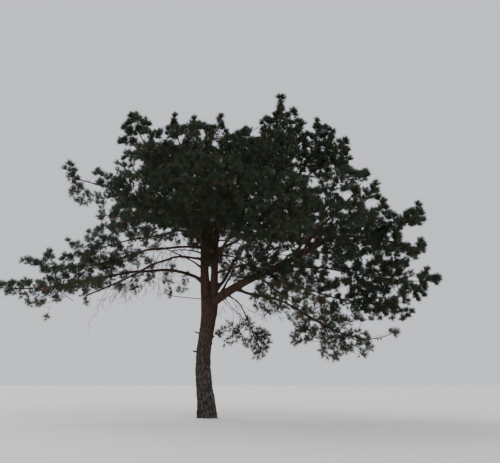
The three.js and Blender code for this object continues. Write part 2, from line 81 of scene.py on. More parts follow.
# The limbs: name, what carries it, the height on the trunk or the share of the limb where it starts, its
# tip, its angles above level at both ends, and its radius at both ends. A place is a heading in degrees
# from +X towards +Y, a distance from the foot's upright axis and a height.
LIMBS = (
    ("second_stem", "trunk", 3.1, (3, 1.2, 8.6), (87, 50), (0.14, 0.05)),
    ("great_bough", "trunk", 3.55, (342, 3.8, 5.4), (38, 30), (0.15, 0.07)),
    ("bough_far_left", "trunk", 4.3, (185, 3.15, 4.5), (38, -12), (0.06, 0.034)),
    ("bough_left_middle", "trunk", 5.5, (193, 2.8, 5.05), (2, -22), (0.045, 0.03)),
    ("bough_left_drooping", "trunk", 5.05, (206, 3.4, 3.95), (20, -25), (0.042, 0.026)),
    ("bough_left_upper", "trunk", 5.85, (159, 2.55, 6.0), (38, 0), (0.045, 0.03)),
    ("bough_left_shoulder", "trunk", 6.1, (219, 2.2, 6.15), (28, 0), (0.05, 0.03)),
    ("bough_upper_left", "trunk", 6.5, (176, 2.95, 7.45), (22, 22), (0.055, 0.03)),
    ("bough_top_left", "trunk", 7.1, (190, 1.55, 7.85), (30, 58), (0.055, 0.032)),
    ("bough_front_left", "trunk", 5.75, (243, 1.8, 6.15), (26, 4), (0.055, 0.032)),
    ("bough_front_middle", "trunk", 6.3, (272, 1.7, 6.6), (20, 0), (0.055, 0.032)),
    ("bough_back_left", "trunk", 5.9, (124, 2.2, 6.8), (20, 18), (0.055, 0.032)),
    ("bough_back_middle", "trunk", 6.2, (95, 1.8, 6.95), (18, 20), (0.055, 0.032)),
    ("bough_top_right", "second_stem", 0.66, (12, 2.9, 7.9), (20, 48), (0.055, 0.032)),
    ("bough_front_right", "second_stem", 0.34, (304, 2.2, 5.95), (30, 2), (0.055, 0.032)),
    ("bough_back_right", "second_stem", 0.4, (53, 2.3, 6.35), (16, 20), (0.055, 0.032)),
    ("bough_right_shoulder", "great_bough", 0.78, (8, 3.9, 6.7), (68, 62), (0.06, 0.034)),
    ("bough_right_upper", "great_bough", 0.9, (344, 4.3, 6.05), (50, 12), (0.055, 0.032)),
    ("bough_far_right", "great_bough", 0.68, (357, 3.95, 4.75), (-14, -6), (0.05, 0.03)),
    ("bough_right_low", "great_bough", 0.54, (12, 3.75, 4.1), (-36, -12), (0.05, 0.03)),
    ("bough_lower_right", "great_bough", 0.26, (356, 2.6, 3.6), (-34, -28), (0.05, 0.03)),
    ("bough_right_inner", "great_bough", 0.38, (332, 2.0, 4.3), (-20, -35), (0.035, 0.024)),
    ("bough_hanging", "great_bough", 0.18, (342, 1.15, 3.5), (-60, -62), (0.028, 0.02)),
    ("bough_front_far_right", "great_bough", 0.82, (328, 4.2, 5.75), (30, 12), (0.05, 0.032)),
    ("bough_back_far_right", "great_bough", 0.62, (29, 4, 5.8), (25, 5), (0.05, 0.032)),
)
THICK_LIMBS = ("second_stem", "great_bough")
BESIDE = {"second_stem": 0.15}  # how far to the right of its carrier's middle a limb starts

# Limbs too small for the frame, written as those above: low snags, thin limbs inside the crown and by the
# fork, and the twig that carries a pair of cones.
SMALL_LIMBS = (
    ("snag_low", "trunk", 2.02, (180, 0.47, 2.1), (20, 25), (0.045, 0.022)),
    ("snag_high", "trunk", 2.6, (183, 0.42, 2.72), (35, 35), (0.035, 0.018)),
    ("inner_low", "second_stem", 0.17, (2, 0.95, 5.25), (40, 68), (0.07, 0.022)),
    ("inner_thin", "great_bough", 0.12, (350, 0.9, 4.75), (70, 55), (0.05, 0.018)),
    ("drooping_front", "great_bough", 0.13, (328, 1.0, 3.2), (-70, -82), (0.014, 0.007)),
    ("drooping_back", "great_bough", 0.15, (12, 1.2, 2.85), (-66, -80), (0.014, 0.007)),
    ("inner_middle", "second_stem", 0.36, (352, 1.5, 4.85), (14, -28), (0.035, 0.012)),
    ("inner_high", "second_stem", 0.45, (340, 1.3, 5.5), (5, -12), (0.03, 0.012)),
    ("inner_top", "second_stem", 0.5, (10, 1.6, 5.8), (8, -10), (0.03, 0.012)),
    ("inner_left", "trunk", 4.75, (205, 1.7, 5.35), (30, 5), (0.032, 0.012)),
    ("inner_back_left", "trunk", 5.25, (140, 1.9, 5.6), (25, 0), (0.03, 0.012)),
    ("inner_front", "trunk", 5.4, (262, 1.5, 5.5), (20, -5), (0.03, 0.012)),
    ("inner_back", "second_stem", 0.3, (75, 1.7, 5.5), (20, 0), (0.03, 0.012)),
    ("cone_twig", "bough_lower_right", 1, (356.6, 5.93, 2.64), (-34, 28), (0.03, 0.014)),
)

# The masses of needles, open ones and dense ones, in the order of their seeds: name, what carries it,
# where on its side it starts (None at its tip), its furthest tip, and half its thickness upright and
# level.
OPEN_MASSES = (
    ("far_left", "bough_far_left", None, (185, 6.9, 4.1), 0.65, 1.1),
    ("left_middle", "bough_left_middle", None, (191, 6.05, 4.7), 0.7, 1.1),
    ("left_drooping", "bough_left_drooping", None, (204, 5.4, 3.25), 0.6, 1),
    ("left_upper", "bough_left_upper", None, (158, 5.9, 5.65), 0.75, 1.2),
    ("left_shoulder", "bough_left_shoulder", None, (219, 4.1, 6.05), 0.85, 1.2),
    ("upper_left", "bough_upper_left", None, (176, 5.25, 8.3), 0.8, 1),
    ("lower_right", "bough_lower_right", None, (355, 5.6, 2.15), 0.8, 1.1),
    ("right_inner", "bough_right_inner", None, (323, 4, 3.15), 0.65, 0.9),
    ("hanging", "bough_hanging", None, (342, 1.95, 1.85), 0.75, 0.8),
    ("trunk_tuft", "trunk", 3.75, (195, 1.6, 3.95), 0.26, 0.4),
)
DENSE_MASSES = (
    ("right_shoulder", "bough_right_shoulder", None, (8, 4.85, 9.3), 1.1, 1.2),
    ("right_upper", "bough_right_upper", None, (342, 7.05, 5.95), 0.9, 1.1),
    ("right_middle", "great_bough", None, (344, 7.1, 5.3), 0.8, 1.1),
    ("far_right", "bough_far_right", None, (359, 7.7, 4.4), 0.75, 1.1),
    ("right_low", "bough_right_low", None, (15, 7.5, 3.95), 0.75, 1.1),
    ("back_far_right", "bough_back_far_right", None, (35, 7.3, 6.1), 1, 1.3),
    ("right_of_stem", "second_stem", 0.26, (321, 3.8, 5.25), 0.9, 1.1),
    ("top_left", "bough_top_left", None, (190, 2.75, 10.1), 0.95, 1.1),
    ("top_middle", "trunk", None, (200, 0.1, 10.4), 1.05, 1.1),
    ("top_left_inner", "trunk", 7.4, (150, 1.85, 10.55), 0.85, 1.1),
    ("top_right_inner", "second_stem", 0.7, (338, 1.35, 9.8), 0.85, 1),
    ("peak", "second_stem", None, (4, 2.6, 10.8), 1, 1.1),
    ("top_right", "bough_top_right", None, (12, 4.3, 10.35), 1.1, 1.15),
    ("front_left", "bough_front_left", None, (250, 4.8, 6.3), 0.95, 1.35),
    ("front_middle", "bough_front_middle", None, (274, 5.2, 6.4), 0.95, 1.35),
    ("front_right", "bough_front_right", None, (297, 5.6, 5.9), 1.05, 1.3),
    ("front_top_left", "trunk", 6.9, (248, 3.4, 8.3), 1, 1.3),
    ("front_top_right", "second_stem", 0.6, (303, 3.8, 8.2), 1.15, 1.3),
    ("front_far_right", "bough_front_far_right", None, (319, 6, 6.6), 0.95, 1.25),
    ("back_left", "bough_back_left", None, (126, 6, 7.7), 1, 1.4),
    ("back_middle", "bough_back_middle", None, (91, 5.6, 8.2), 1, 1.4),
    ("back_right", "bough_back_right", None, (53, 6.25, 7.5), 1.05, 1.4),
    ("back_top_left", "trunk", 7.2, (122, 3.8, 9.8), 1, 1.3),
    ("back_top_right", "second_stem", 0.64, (58, 3.9, 10.1), 1, 1.3),
)

# The crown's edge as photographed, in pixels of the picture. Shoots spread at random keep inside it.
CROWN_OUTLINE = (
    (-25, 275), (20, 279), (30, 276), (38, 270), (24, 267), (20, 257), (32, 255), (42, 258), (50, 246),
    (55, 258), (60, 258), (66, 250), (72, 253), (65, 245), (65, 237), (72, 239), (82, 244), (88, 227),
    (98, 226), (97, 212), (96, 205), (87, 207), (72, 201), (69, 186), (61, 168), (68, 158), (76, 169),
    (92, 178), (93, 169), (100, 165), (108, 173), (116, 172), (116, 159), (123, 153), (118, 141),
    (122, 122), (131, 111), (141, 112), (150, 119), (153, 130), (166, 129), (171, 120), (175, 112),
    (179, 122), (182, 125), (190, 122), (194, 115), (198, 120), (214, 123), (217, 113), (224, 113),
    (226, 128), (234, 134), (240, 128), (250, 125), (256, 138), (260, 118), (268, 114), (274, 112),
    (278, 93), (284, 94), (287, 112), (296, 106), (303, 117), (306, 130), (312, 132), (314, 117),
    (319, 115), (321, 123), (335, 126), (336, 142), (342, 137), (350, 139), (351, 166), (360, 170),
    (367, 166), (370, 177), (378, 180), (380, 194), (385, 197), (392, 210), (400, 215), (410, 207),
    (419, 200), (425, 212), (424, 223), (412, 228), (404, 229), (403, 241), (412, 246), (421, 236),
    (427, 248), (416, 260), (410, 262), (411, 270), (420, 274), (428, 265), (432, 273), (441, 274),
    (438, 285), (428, 285), (425, 297), (412, 298), (414, 308), (411, 319), (400, 320), (384, 316),
    (376, 322), (352, 326), (370, 332), (374, 348), (352, 352), (345, 362), (330, 358), (320, 343),
    (312, 338), (300, 347), (291, 343), (286, 322), (280, 311), (272, 315), (262, 309), (250, 292),
    (240, 282), (222, 284), (200, 262), (190, 252), (160, 257), (132, 272), (108, 290), (92, 300),
    (76, 301), (64, 306), (50, 308), (36, 312), (26, 309), (20, 300), (0, 297), (-25, 294),
)
# The same for the sprays that hang under the great bough, and for the tuft on the trunk.
HANGING_OUTLINE = (
    (234, 316), (250, 315), (264, 322), (275, 338), (275, 356), (262, 362), (248, 358), (238, 348),
    (224, 344), (208, 346), (208, 320), (222, 324),
)
TRUNK_TUFT_OUTLINE = ((166, 276), (206, 276), (206, 304), (166, 304))

# Single sprays at the crown's edge as photographed, or a little inside it: the middle of each, in pixels.
EDGE_SPRAYS = (
    (120, 142), (124, 127), (128, 123), (131, 115), (137, 118), (131, 128), (138, 128), (145, 123),
    (149, 124), (147, 130), (161, 131), (158, 136), (175, 115), (173, 124), (176, 124), (168, 128),
    (184, 127), (194, 118), (192, 126), (195, 128), (201, 125), (206, 128), (211, 127), (215, 127),
    (221, 116), (219, 119), (222, 126), (226, 131), (229, 138), (237, 134), (241, 133), (246, 129),
    (250, 130), (257, 140), (262, 122), (266, 118), (270, 122), (264, 130), (275, 114), (279, 97),
    (283, 97), (281, 101), (280, 105), (282, 109), (279, 113), (288, 115), (293, 110), (295, 113),
    (300, 121), (303, 123), (308, 134), (317, 120), (315, 127), (319, 128), (325, 127), (329, 129),
    (333, 131), (343, 143), (347, 142), (348, 150), (350, 158), (355, 173), (360, 173), (365, 171),
    (367, 174), (372, 186), (376, 183), (373, 191), (383, 200), (386, 207), (394, 215), (407, 213),
    (412, 211), (418, 204), (421, 213), (423, 219), (419, 223), (412, 224), (407, 220), (421, 240),
    (424, 245), (419, 248), (414, 252), (415, 257), (408, 246), (427, 269), (424, 273), (434, 278),
    (439, 278), (436, 282), (425, 288), (422, 292), (418, 290), (422, 283), (415, 293), (424, 295),
    (416, 296), (420, 276), (412, 311), (408, 315), (404, 317), (406, 310), (395, 334), (391, 331),
    (397, 331), (366, 334), (368, 338), (357, 337), (69, 163), (65, 168), (70, 170), (75, 170), (73, 175),
    (74, 182), (80, 185), (74, 188), (71, 191), (78, 192), (72, 195), (77, 200), (81, 199), (81, 203),
    (86, 203), (113, 262), (118, 263), (98, 170), (95, 173), (102, 174), (107, 178), (117, 163), (118, 170),
    (124, 158), (23, 260), (29, 259), (36, 263), (42, 264), (50, 251), (46, 255), (52, 257), (65, 255),
    (62, 259), (68, 240), (72, 244), (78, 243), (89, 232), (87, 237), (98, 229), (101, 218), (4, 284),
    (12, 284), (20, 285), (28, 283), (30, 304), (36, 302), (27, 301), (47, 317), (86, 302), (340, 146),
    (346, 154), (362, 320), (371, 319), (380, 318), (392, 318), (402, 319), (423, 250), (326, 134),
    (345, 139), (339, 141), (376, 190), (378, 197), (418, 299), (78, 178), (82, 188), (72, 165), (174, 120),
    (194, 122), (317, 124), (265, 126), (248, 134), (244, 134), (344, 148), (385, 313), (124, 165),
    (90, 200), (97, 202), (103, 203), (38, 290), (44, 292), (50, 291),
)

# Where the crown is open or full as photographed: name, middle and half size of an oval in the picture, in
# pixels, and the spacing of the shoots there as a share of the usual one. OPEN is sky with no shoots.
OPEN = 0
CROWN_PLACES = (
    ("first gap in the top", (143, 141), (8, 6), OPEN),
    ("gap under the first spire", (127, 138), (9, 3), OPEN),
    ("second gap in the top", (162, 140), (9, 6), OPEN),
    ("third gap in the top", (178, 143), (7, 6), OPEN),
    ("fourth gap in the top", (202, 138), (6, 4), OPEN),
    ("gap under the left shoulder", (139, 164), (7, 6), OPEN),
    ("gap at the upper left bough", (90, 184), (8, 5), OPEN),
    ("gap behind the right shoulder", (313, 184), (8, 7), OPEN),
    ("gap over the right boughs' roots", (343, 212), (6, 5), OPEN),
    ("gap under the right shoulder", (347, 198), (7, 6), OPEN),
    ("gap beside the right shoulder", (357, 186), (5, 4), OPEN),
    ("gap over the right boughs", (372, 205), (11, 6), OPEN),
    ("first gap in the right boughs", (349, 265), (6, 6), OPEN),
    ("second gap in the right boughs", (367, 260), (10, 5), OPEN),
    ("gap over the far right bough", (388, 258), (7, 4), OPEN),
    ("third gap in the right boughs", (404, 256), (5, 5), OPEN),
    ("fourth gap in the right boughs", (394, 291), (8, 6), OPEN),
    ("fifth gap in the right boughs", (338, 275), (8, 7), OPEN),
    ("sixth gap in the right boughs", (412, 280), (8, 4), OPEN),
    ("gap under the right boughs", (344, 291), (7, 7), OPEN),
    ("gap over the lower right end", (372, 326), (11, 5), OPEN),
    ("gap over the hanging sprays", (262, 316), (11, 9), OPEN),
    ("gap in the lower right boughs", (343, 313), (9, 7), OPEN),
    ("gap at the far left", (36, 277), (14, 6), OPEN),
    ("over the far left bough", (62, 263), (20, 5), 1.6),
    ("over the upper left boughs", (103, 217), (8, 8), 1.3),
    ("under the right boughs' fork", (315, 269), (9, 6), 1.7),
    ("first spire", (131, 128), (12, 16), 0.75),
    ("peak's foot", (288, 124), (17, 22), 0.75),
    ("right of the peak", (322, 145), (30, 24), 0.75),
    ("right shoulder", (346, 166), (9, 10), 0.7),
    ("under the right shoulder", (316, 171), (14, 6), 0.95),
    ("left of the right shoulder", (295, 190), (10, 10), 0.7),
    ("middle of the right boughs", (394, 269), (14, 7), 0.65),
    ("top of the right boughs", (382, 217), (10, 7), 0.85),
    ("right boughs' upper side", (359, 216), (8, 10), 0.8),
    ("lower right boughs' roots", (322, 291), (10, 5), 0.8),
    ("foot of the right boughs", (362, 303), (9, 10), 0.75),
    ("right end", (411, 228), (16, 30), 0.6),
    ("right boughs", (388, 230), (22, 24), 0.7),
    ("far right end", (427, 285), (10, 18), 0.7),
    ("lower right bough's end", (383, 311), (13, 7), 0.6),
    ("far left end", (4, 287), (16, 9), 0.7),
    ("along the far left bough", (55, 284), (24, 9), 0.75),
    ("upper left bough", (115, 182), (17, 9), 0.72),
    ("under the upper left bough", (106, 231), (9, 7), 1.1),
    ("lower left boughs", (68, 299), (30, 8), 1.2),
    ("above the far left bough", (85, 254), (34, 11), 1.3),
    ("at the upper left bough's root", (112, 205), (12, 8), 1.3),
    ("left boughs' roots", (142, 236), (27, 15), 1.35),
    ("left of the stems", (178, 238), (15, 11), 1.25),
    ("over the heavy bough", (260, 249), (50, 9), 1.35),
    ("between the right boughs", (330, 191), (26, 11), 1.25),
    ("under the right boughs' roots", (325, 262), (16, 10), 1.1),
    ("between the lower right boughs", (320, 301), (24, 13), 1.05),
    ("heart of the crown", (225, 185), (100, 52), 0.95),
    ("lower right boughs", (370, 295), (50, 34), 0.9),
    ("middle of the left boughs", (60, 276), (48, 20), 0.85),
    ("above the left boughs' roots", (125, 178), (18, 26), 0.85),
    ("hanging sprays", (256, 336), (16, 16), 1),
)

# Small sprays under the dense masses, on fine twigs from the nearest limb: name, middle and half size of an
# oval in the picture, in pixels, from and to which Y, and the spacing of the sprays.
INNER_SPRAYS = (
    ("right of the stems", (241, 258), (24, 11), (0, 1.8), 0.32),
    ("over the fork", (240, 273), (20, 8), (0.1, 1.6), 0.3),
    ("over the heavy bough", (263, 263), (20, 5), (0, 1.6), 0.3),
    ("under the heavy bough", (297, 277), (26, 14), (-0.8, 1.6), 0.29),
    ("below the fork", (269, 298), (16, 14), (-0.9, 0.6), 0.32),
    ("low tuft", (304, 337), (11, 8), (-1.2, 0.2), 0.32),
    ("lower right middle", (332, 322), (12, 12), (-1.2, 0.8), 0.42),
    ("lower right end", (334, 346), (15, 12), (-1.2, 0.8), 0.36),
    ("lowest right twigs", (358, 350), (15, 6), (-0.8, 0.6), 0.44),
    ("hanging sprays", (259, 340), (9, 9), (-0.9, -0.2), 0.26),
    ("left of the hanging sprays", (228, 336), (13, 7), (-0.7, 0.2), 0.38),
    ("beside the heavy bough", (296, 273), (8, 6), (-0.4, 1.2), 0.26),
    ("left network", (128, 271), (29, 19), (-1.4, 1.2), 0.42),
    ("dark tuft on the left", (116, 264), (6, 5), (-1.2, 0.4), 0.28),
    ("tuft at the left boughs", (90, 258), (6, 5), (-1, 0.6), 0.24),
    ("over the left boughs", (151, 250), (10, 7), (-1.2, 1.2), 0.5),
    ("under the left boughs", (164, 279), (26, 14), (-1.2, 1.2), 0.6),
    ("left of the stems", (196, 241), (5, 7), (-0.9, 0.9), 0.26),
    ("between the stems", (210, 249), (3, 18), (-0.6, 0.9), 0.17),
    ("behind the stems", (212, 218), (6, 8), (-1.2, 0.9), 0.3),
    ("heart of the crown", (213, 186), (6, 6), (-1.2, 0.9), 0.3),
)

INNER = "inner"  # the name that the inner sprays go by

# The masses that are joined into one piece of needles and one of twigs.
REGIONS = {
    "left": ("far_left", "left_middle", "left_upper", "left_shoulder", "upper_left"),
    "low_right": ("right_middle", "far_right", "right_low"),
    "shaded": ("left_drooping", "trunk_tuft", "lower_right", "right_inner", "hanging"),
    "high_right": ("right_shoulder", "right_upper", "back_far_right", "front_far_right"),
    "top": ("top_left", "top_middle", "top_left_inner", "top_right_inner", "peak", "top_right"),
    "front": ("right_of_stem", "front_left", "front_middle", "front_right", "front_top_left",
              "front_top_right"),
    "back": ("back_left", "back_middle", "back_right"),
    "back_top": ("back_top_left", "back_top_right"),
    INNER: (INNER,),
}

# Needle colours as plain base colours, each with its share of the sprays.
NEEDLE_KINDS = (
    ("deep", 0.36),
    ("mid", 0.3),
    ("blue", 0.2),
    ("olive", 0.12),
    ("dead", 0.02),
)
AGED_AND_GLOW_SHARES = (0.26, 0.2, 0.08, 0.32, 0.14)  # the shares in the shaded region and the inner sprays, with more olive and brown: partly old needles, partly a painted warm glow of low back light
FINE_REGIONS = ("left", "shaded", INNER)  # where the shoots carry fewer and finer needles


def length_property(name, description, default, **limits):
    """A size in metres that a user may change."""
    return bpy.props.FloatProperty(
        name=name, description=description, default=default, unit="LENGTH", precision=4, **limits
    )


def colour_property(name, description, default):
    """A colour that a user may change."""
    return bpy.props.FloatVectorProperty(
        name=name, description=description, default=default, subtype="COLOR", size=3, min=0, max=1
    )


class PineBark(bpy.types.PropertyGroup):
    """Sizes and colours of the bark."""

    step: length_property("Mesh step", "Size of the faces on the trunk", 0.0158, min=0.008)
    plate_width: length_property("Plate width", "Width of a bark plate on the lower trunk", 0.075)
    plate_length: length_property("Plate length", "Height of a bark plate on the lower trunk", 0.2)
    furrow_depth: length_property("Furrow depth", "Depth of the furrows between the plates", 0.022)
    flake_width: length_property("Flake width", "Width of the thin flakes higher up", 0.05)
    flake_depth: length_property("Flake depth", "Depth of the cracks between the flakes", 0.006)
    plate_top: length_property("Top of the plates", "Height at which plates give way to flakes", 2.3)
    grey: colour_property("Plates", "Colour of the plates at the foot", (0.088, 0.075, 0.068))
    red: colour_property("Flakes", "Colour of the thin bark higher up", (0.066, 0.034, 0.023))
    pale: colour_property("Lichen", "Colour of the lichen on old plates", (0.19, 0.19, 0.165))
    # Painted shade: a near-black colour laid into the bottoms of the furrows and the cracks between flakes.
    furrow_shade: colour_property("Furrows", "Colour at the bottom of the furrows", (0.026, 0.018, 0.014))


class PineTwigs(bpy.types.PropertyGroup):
    """Sizes and colours of the twigs."""

    tip_radius: length_property("Tip radius", "Radius of a twig at its tip", 0.005)
    core_radius: length_property("Shoot radius", "Radius of a needled shoot's wood and sheaths", 0.026)
    fine_core_radius: length_property("Fine shoot radius", "The same for a shoot in the shade", 0.012)
    bark: colour_property("Twig bark", "Colour of the twigs", (0.048, 0.027, 0.019))
    # Partly the sheaths' own colour, partly painted shade: the dark spindles fill the heart of each brush of
    # needles.
    sheath_and_shade: colour_property("Sheaths", "Colour of the needled shoots", (0.035, 0.034, 0.014))


class PineNeedles(bpy.types.PropertyGroup):
    """Sizes and colours of the needles."""

    length: length_property("Needle length", "Length of the longest needles", 0.135)
    width: length_property("Needle width", "Width of a needle at its root", 0.0125)
    count: bpy.props.IntProperty(
        name="Needles", description="Needles on one shoot", default=44, min=4, max=90
    )
    fine_width: length_property("Fine needle width", "Width of a needle in the shade", 0.0095)
    fine_count: bpy.props.IntProperty(
        name="Fine needles", description="Needles on one shoot in the shade", default=40, min=4, max=90
    )
    root_tilt: bpy.props.FloatProperty(
        name="Root tilt", description="Angle between the shoot and its lowest needles",
        default=math.radians(56), subtype="ANGLE",
    )
    tip_tilt: bpy.props.FloatProperty(
        name="Tip tilt", description="Angle between the shoot and its last needles",
        default=math.radians(44), subtype="ANGLE",
    )
    deep: colour_property("Deep green", "Most of the sprays", (0.018, 0.034, 0.014))
    mid: colour_property("Green", "Sprays in the light", (0.028, 0.05, 0.02))
    blue: colour_property("Blue green", "Young sprays", (0.024, 0.046, 0.032))
    # Olive and brown are dealt out more in the shaded region and the inner sprays, where they also stand for
    # a painted warm glow of low back light.
    olive: colour_property("Olive", "Old sprays", (0.052, 0.056, 0.018))
    dead: colour_property("Brown", "Dead sprays", (0.11, 0.05, 0.022))


class PineCones(bpy.types.PropertyGroup):
    """Sizes and colours of the cones."""

    length: length_property("Cone length", "Length of a cone", 0.08)
    width: length_property("Cone width", "Greatest width of a cone", 0.056)
    share: bpy.props.FloatProperty(
        name="Share", description="Share of the whorls that carry a cone", default=0.07, subtype="FACTOR",
        min=0, max=1,
    )
    colour: colour_property("Cone", "Colour of the cones", (0.1, 0.062, 0.036))


class PineStage(bpy.types.PropertyGroup):
    """The floor, the light and the camera."""

    floor_size: length_property("Floor", "Width of the floor", 1600)
    floor: colour_property("Floor colour", "Colour of the floor", (0.74, 0.72, 0.7))
    air: colour_property("Background", "Colour of the background", (0.8, 0.82, 0.87))
    back_strength: bpy.props.FloatProperty(
        name="Back light", description="Strength of the soft light behind the tree", default=1.9
    )
    front_strength: bpy.props.FloatProperty(
        name="Front light", description="Strength of the soft light before the tree", default=0.7
    )


PROPERTY_GROUPS = {
    "pine_bark": PineBark,
    "pine_twigs": PineTwigs,
    "pine_needles": PineNeedles,
    "pine_cones": PineCones,
    "pine_stage": PineStage,
}


class Link:
    """One output socket, so that maths on sockets can be written as Python expressions."""

    def __init__(self, graph, socket):
        self.graph = graph
        self.socket = socket

    def __add__(self, other):
        return self.graph.maths("ADD", self, other)

    def __sub__(self, other):
        return self.graph.maths("SUBTRACT", self, other)

    def __mul__(self, other):
        return self.graph.maths("MULTIPLY", self, other)

    def __truediv__(self, other):
        return self.graph.maths("DIVIDE", self, other)

    def __rsub__(self, other):
        return self.graph.maths("SUBTRACT", other, self)

    __radd__ = __add__
    __rmul__ = __mul__

    def clamped(self):
        """The value kept between 0 and 1."""
        return self.graph.maths("ADD", self, 0, clamp=True)


class Graph:
    """Adds nodes to a shader tree or a geometry tree."""

    def __init__(self, tree):
        self.tree = tree

    def node(self, kind, settings=None, sockets=None, output=0):
        """Make a node of a type, set its settings, fill its sockets and give one of its outputs."""
        made = self.tree.nodes.new(kind)
        for name, value in (settings or {}).items():
            if name == "stops":
                self.set_stops(made.color_ramp, value)
            else:
                setattr(made, name, value)
        for key, value in (sockets or {}).items():
            if isinstance(value, Link):
                self.tree.links.new(value.socket, made.inputs[key])
            else:
                made.inputs[key].default_value = value
        return Link(self, made.outputs[output])

    @staticmethod
    def set_stops(ramp, stops):
        """Set a ramp's stops, each a place and a shade of grey."""
        while len(ramp.elements) < len(stops):
            ramp.elements.new(1)
        for element, (place, shade) in zip(ramp.elements, stops):
            element.position = place
            element.color = (shade, shade, shade, 1)

    def maths(self, operation, *values, clamp=False):
        """A Math node on values or links."""
        return self.node(
            "ShaderNodeMath", {"operation": operation, "use_clamp": clamp}, dict(enumerate(values))
        )

    def mix(self, factor, first, second):
        """A colour between two colours."""
        colours = {6: first, 7: second}
        sockets = {key: c if isinstance(c, Link) else (*c, 1) for key, c in colours.items()}
        return self.node("ShaderNodeMix", {"data_type": "RGBA"}, {0: factor, **sockets}, output=2)

    def shades(self, factor, colour, first, second):
        """A colour between two shades of one colour, each given as a multiple of it."""
        return self.mix(factor, *(tuple(min(1, shade * c) for c in colour) for shade in (first, second)))

    def noise(self, place, scale, detail=3, roughness=0.55):
        """Smooth noise from 0 to 1."""
        sockets = {"Vector": place, "Scale": scale, "Detail": detail, "Roughness": roughness}
        return self.node("ShaderNodeTexNoise", {"noise_dimensions": "3D"}, sockets, output="Fac")

    def cells(self, place, scale):
        """The distance from the middle of the nearest of many uneven cells."""
        sockets = {"Vector": place, "Scale": scale}
        return self.node("ShaderNodeTexVoronoi", {"feature": "F1"}, sockets, output="Distance")

    def ramp(self, value, *stops):
        """A value remapped between stops of place and shade."""
        return self.node("ShaderNodeValToRGB", {"stops": stops}, {"Fac": value})

    def bump(self, height, strength, distance):
        """The surface's direction, bumped by a height."""
        sockets = {"Strength": strength, "Distance": distance, "Height": height}
        return self.node("ShaderNodeBump", sockets=sockets, output="Normal")


def new_finish(name, gloss=0.5):
    """A new material with its graph, its surface shader's node and each point's place on the object."""
    material = bpy.data.materials.new(name)
    material.use_nodes = True
    graph = Graph(material.node_tree)
    shader = next(n for n in material.node_tree.nodes if n.type == "BSDF_PRINCIPLED")
    shader.inputs["Specular IOR Level"].default_value = gloss
    return material, graph, shader, graph.node("ShaderNodeTexCoord", output="Object")


def wire(graph, shader, **links):
    """Link values to the surface shader's sockets, which are named with spaces for underscores."""
    for name, link in links.items():
        graph.tree.links.new(link.socket, shader.inputs[name.replace("_", " ")])


GREY_END = 0.6  # how far above the top of the plates their grey ends
GREY_FADE = 1.6  # over what height the grey fades out
GREY_BLOTCHES = 2.4  # how far up and down blotches shift that


def bark_finish(name, bark):
    """Grey plates at the foot that turn to thin red-brown flakes, with painted shade darkening the furrows
    and the cracks between flakes.
    """
    material, graph, shader, place = new_finish(name, gloss=0.25)
    height = graph.node("ShaderNodeSeparateXYZ", sockets={0: place}, output=2)
    relief = graph.node("ShaderNodeAttribute", {"attribute_name": "relief"}, output="Fac")
    blotches = graph.noise(place, scale=2.2)
    grain = graph.noise(place, scale=38, detail=6, roughness=0.7)
    flake = graph.cells(place, scale=26)
    low = bark.plate_top + GREY_END - height + (blotches - 0.5) * GREY_BLOTCHES
    red = graph.shades((grain * 0.8 + flake * 0.5).clamped(), bark.red, 0.55, 1.5)
    grey = graph.shades((grain * 1.3 - 0.15).clamped(), bark.grey, 0.6, 1)
    lichen = graph.ramp(graph.noise(place, scale=9, detail=5), (0.52, 0), (0.66, 1))
    grey = graph.mix(lichen * relief * 0.6, grey, bark.pale)
    surface = graph.mix((low / GREY_FADE).clamped(), red, grey)
    # Painted shade: where the relief is low, in the furrows and cracks, the colour turns to the furrow
    # colour.
    colour = graph.mix(graph.ramp(relief, (0.15, 0), (0.75, 1)), bark.furrow_shade, surface)
    bump = graph.bump(grain + flake * 0.6, strength=0.55, distance=0.012)
    wire(graph, shader, Base_Color=colour, Roughness=0.95 - grain * 0.25, Normal=bump)
    return material


def twig_finish(name, colour):
    """Thin scaly bark of the twigs."""
    material, graph, shader, place = new_finish(name, gloss=0.25)
    grain = graph.noise(place, scale=60, detail=4)
    patches = graph.noise(place, scale=5)
    shade = graph.shades((grain + patches - 0.5).clamped(), colour, 0.6, 1.4)
    wire(graph, shader, Base_Color=shade, Roughness=0.7 + grain * 0.25)
    return material


def needle_finish(name, colour):
    """One plain needle colour, with a waxy gloss that changes from spray to spray."""
    material, graph, shader, place = new_finish(name, gloss=0.35)
    shader.inputs["Base Color"].default_value = (*colour, 1)
    wire(graph, shader, Roughness=0.42 + graph.noise(place, scale=7) * 0.4)
    return material


def cone_finish(name, colour):
    """Woody scales, paler in their middles."""
    material, graph, shader, place = new_finish(name)
    scales = graph.cells(place, scale=85)
    shade = graph.shades(graph.ramp(scales, (0.1, 0), (0.6, 1)), colour, 1.6, 0.5)
    bump = graph.bump(1 - scales, strength=0.6, distance=0.004)
    wire(graph, shader, Base_Color=shade, Roughness=0.6 + scales * 0.3, Normal=bump)
    return material


def floor_finish(name, colour):
    """Plain pale floor with a faint unevenness."""
    material, graph, shader, place = new_finish(name)
    cloud = graph.noise(place, scale=0.6)
    wire(graph, shader, Base_Color=graph.shades(cloud, colour, 0.97, 1), Roughness=0.8 + cloud * 0.15)
    return material


# The photograph's camera is worked out from its horizon and from where the tree's foot and top are in it.
IMAGE_WIDTH = 500
IMAGE_HEIGHT = 463
HORIZON_ROW = 384
FOOT_PIXEL = (206.5, 418)
TOP_ROW = 93
FOCAL_PIXELS = 700
SENSOR_WIDTH = 36
TREE_HEIGHT = 11.0


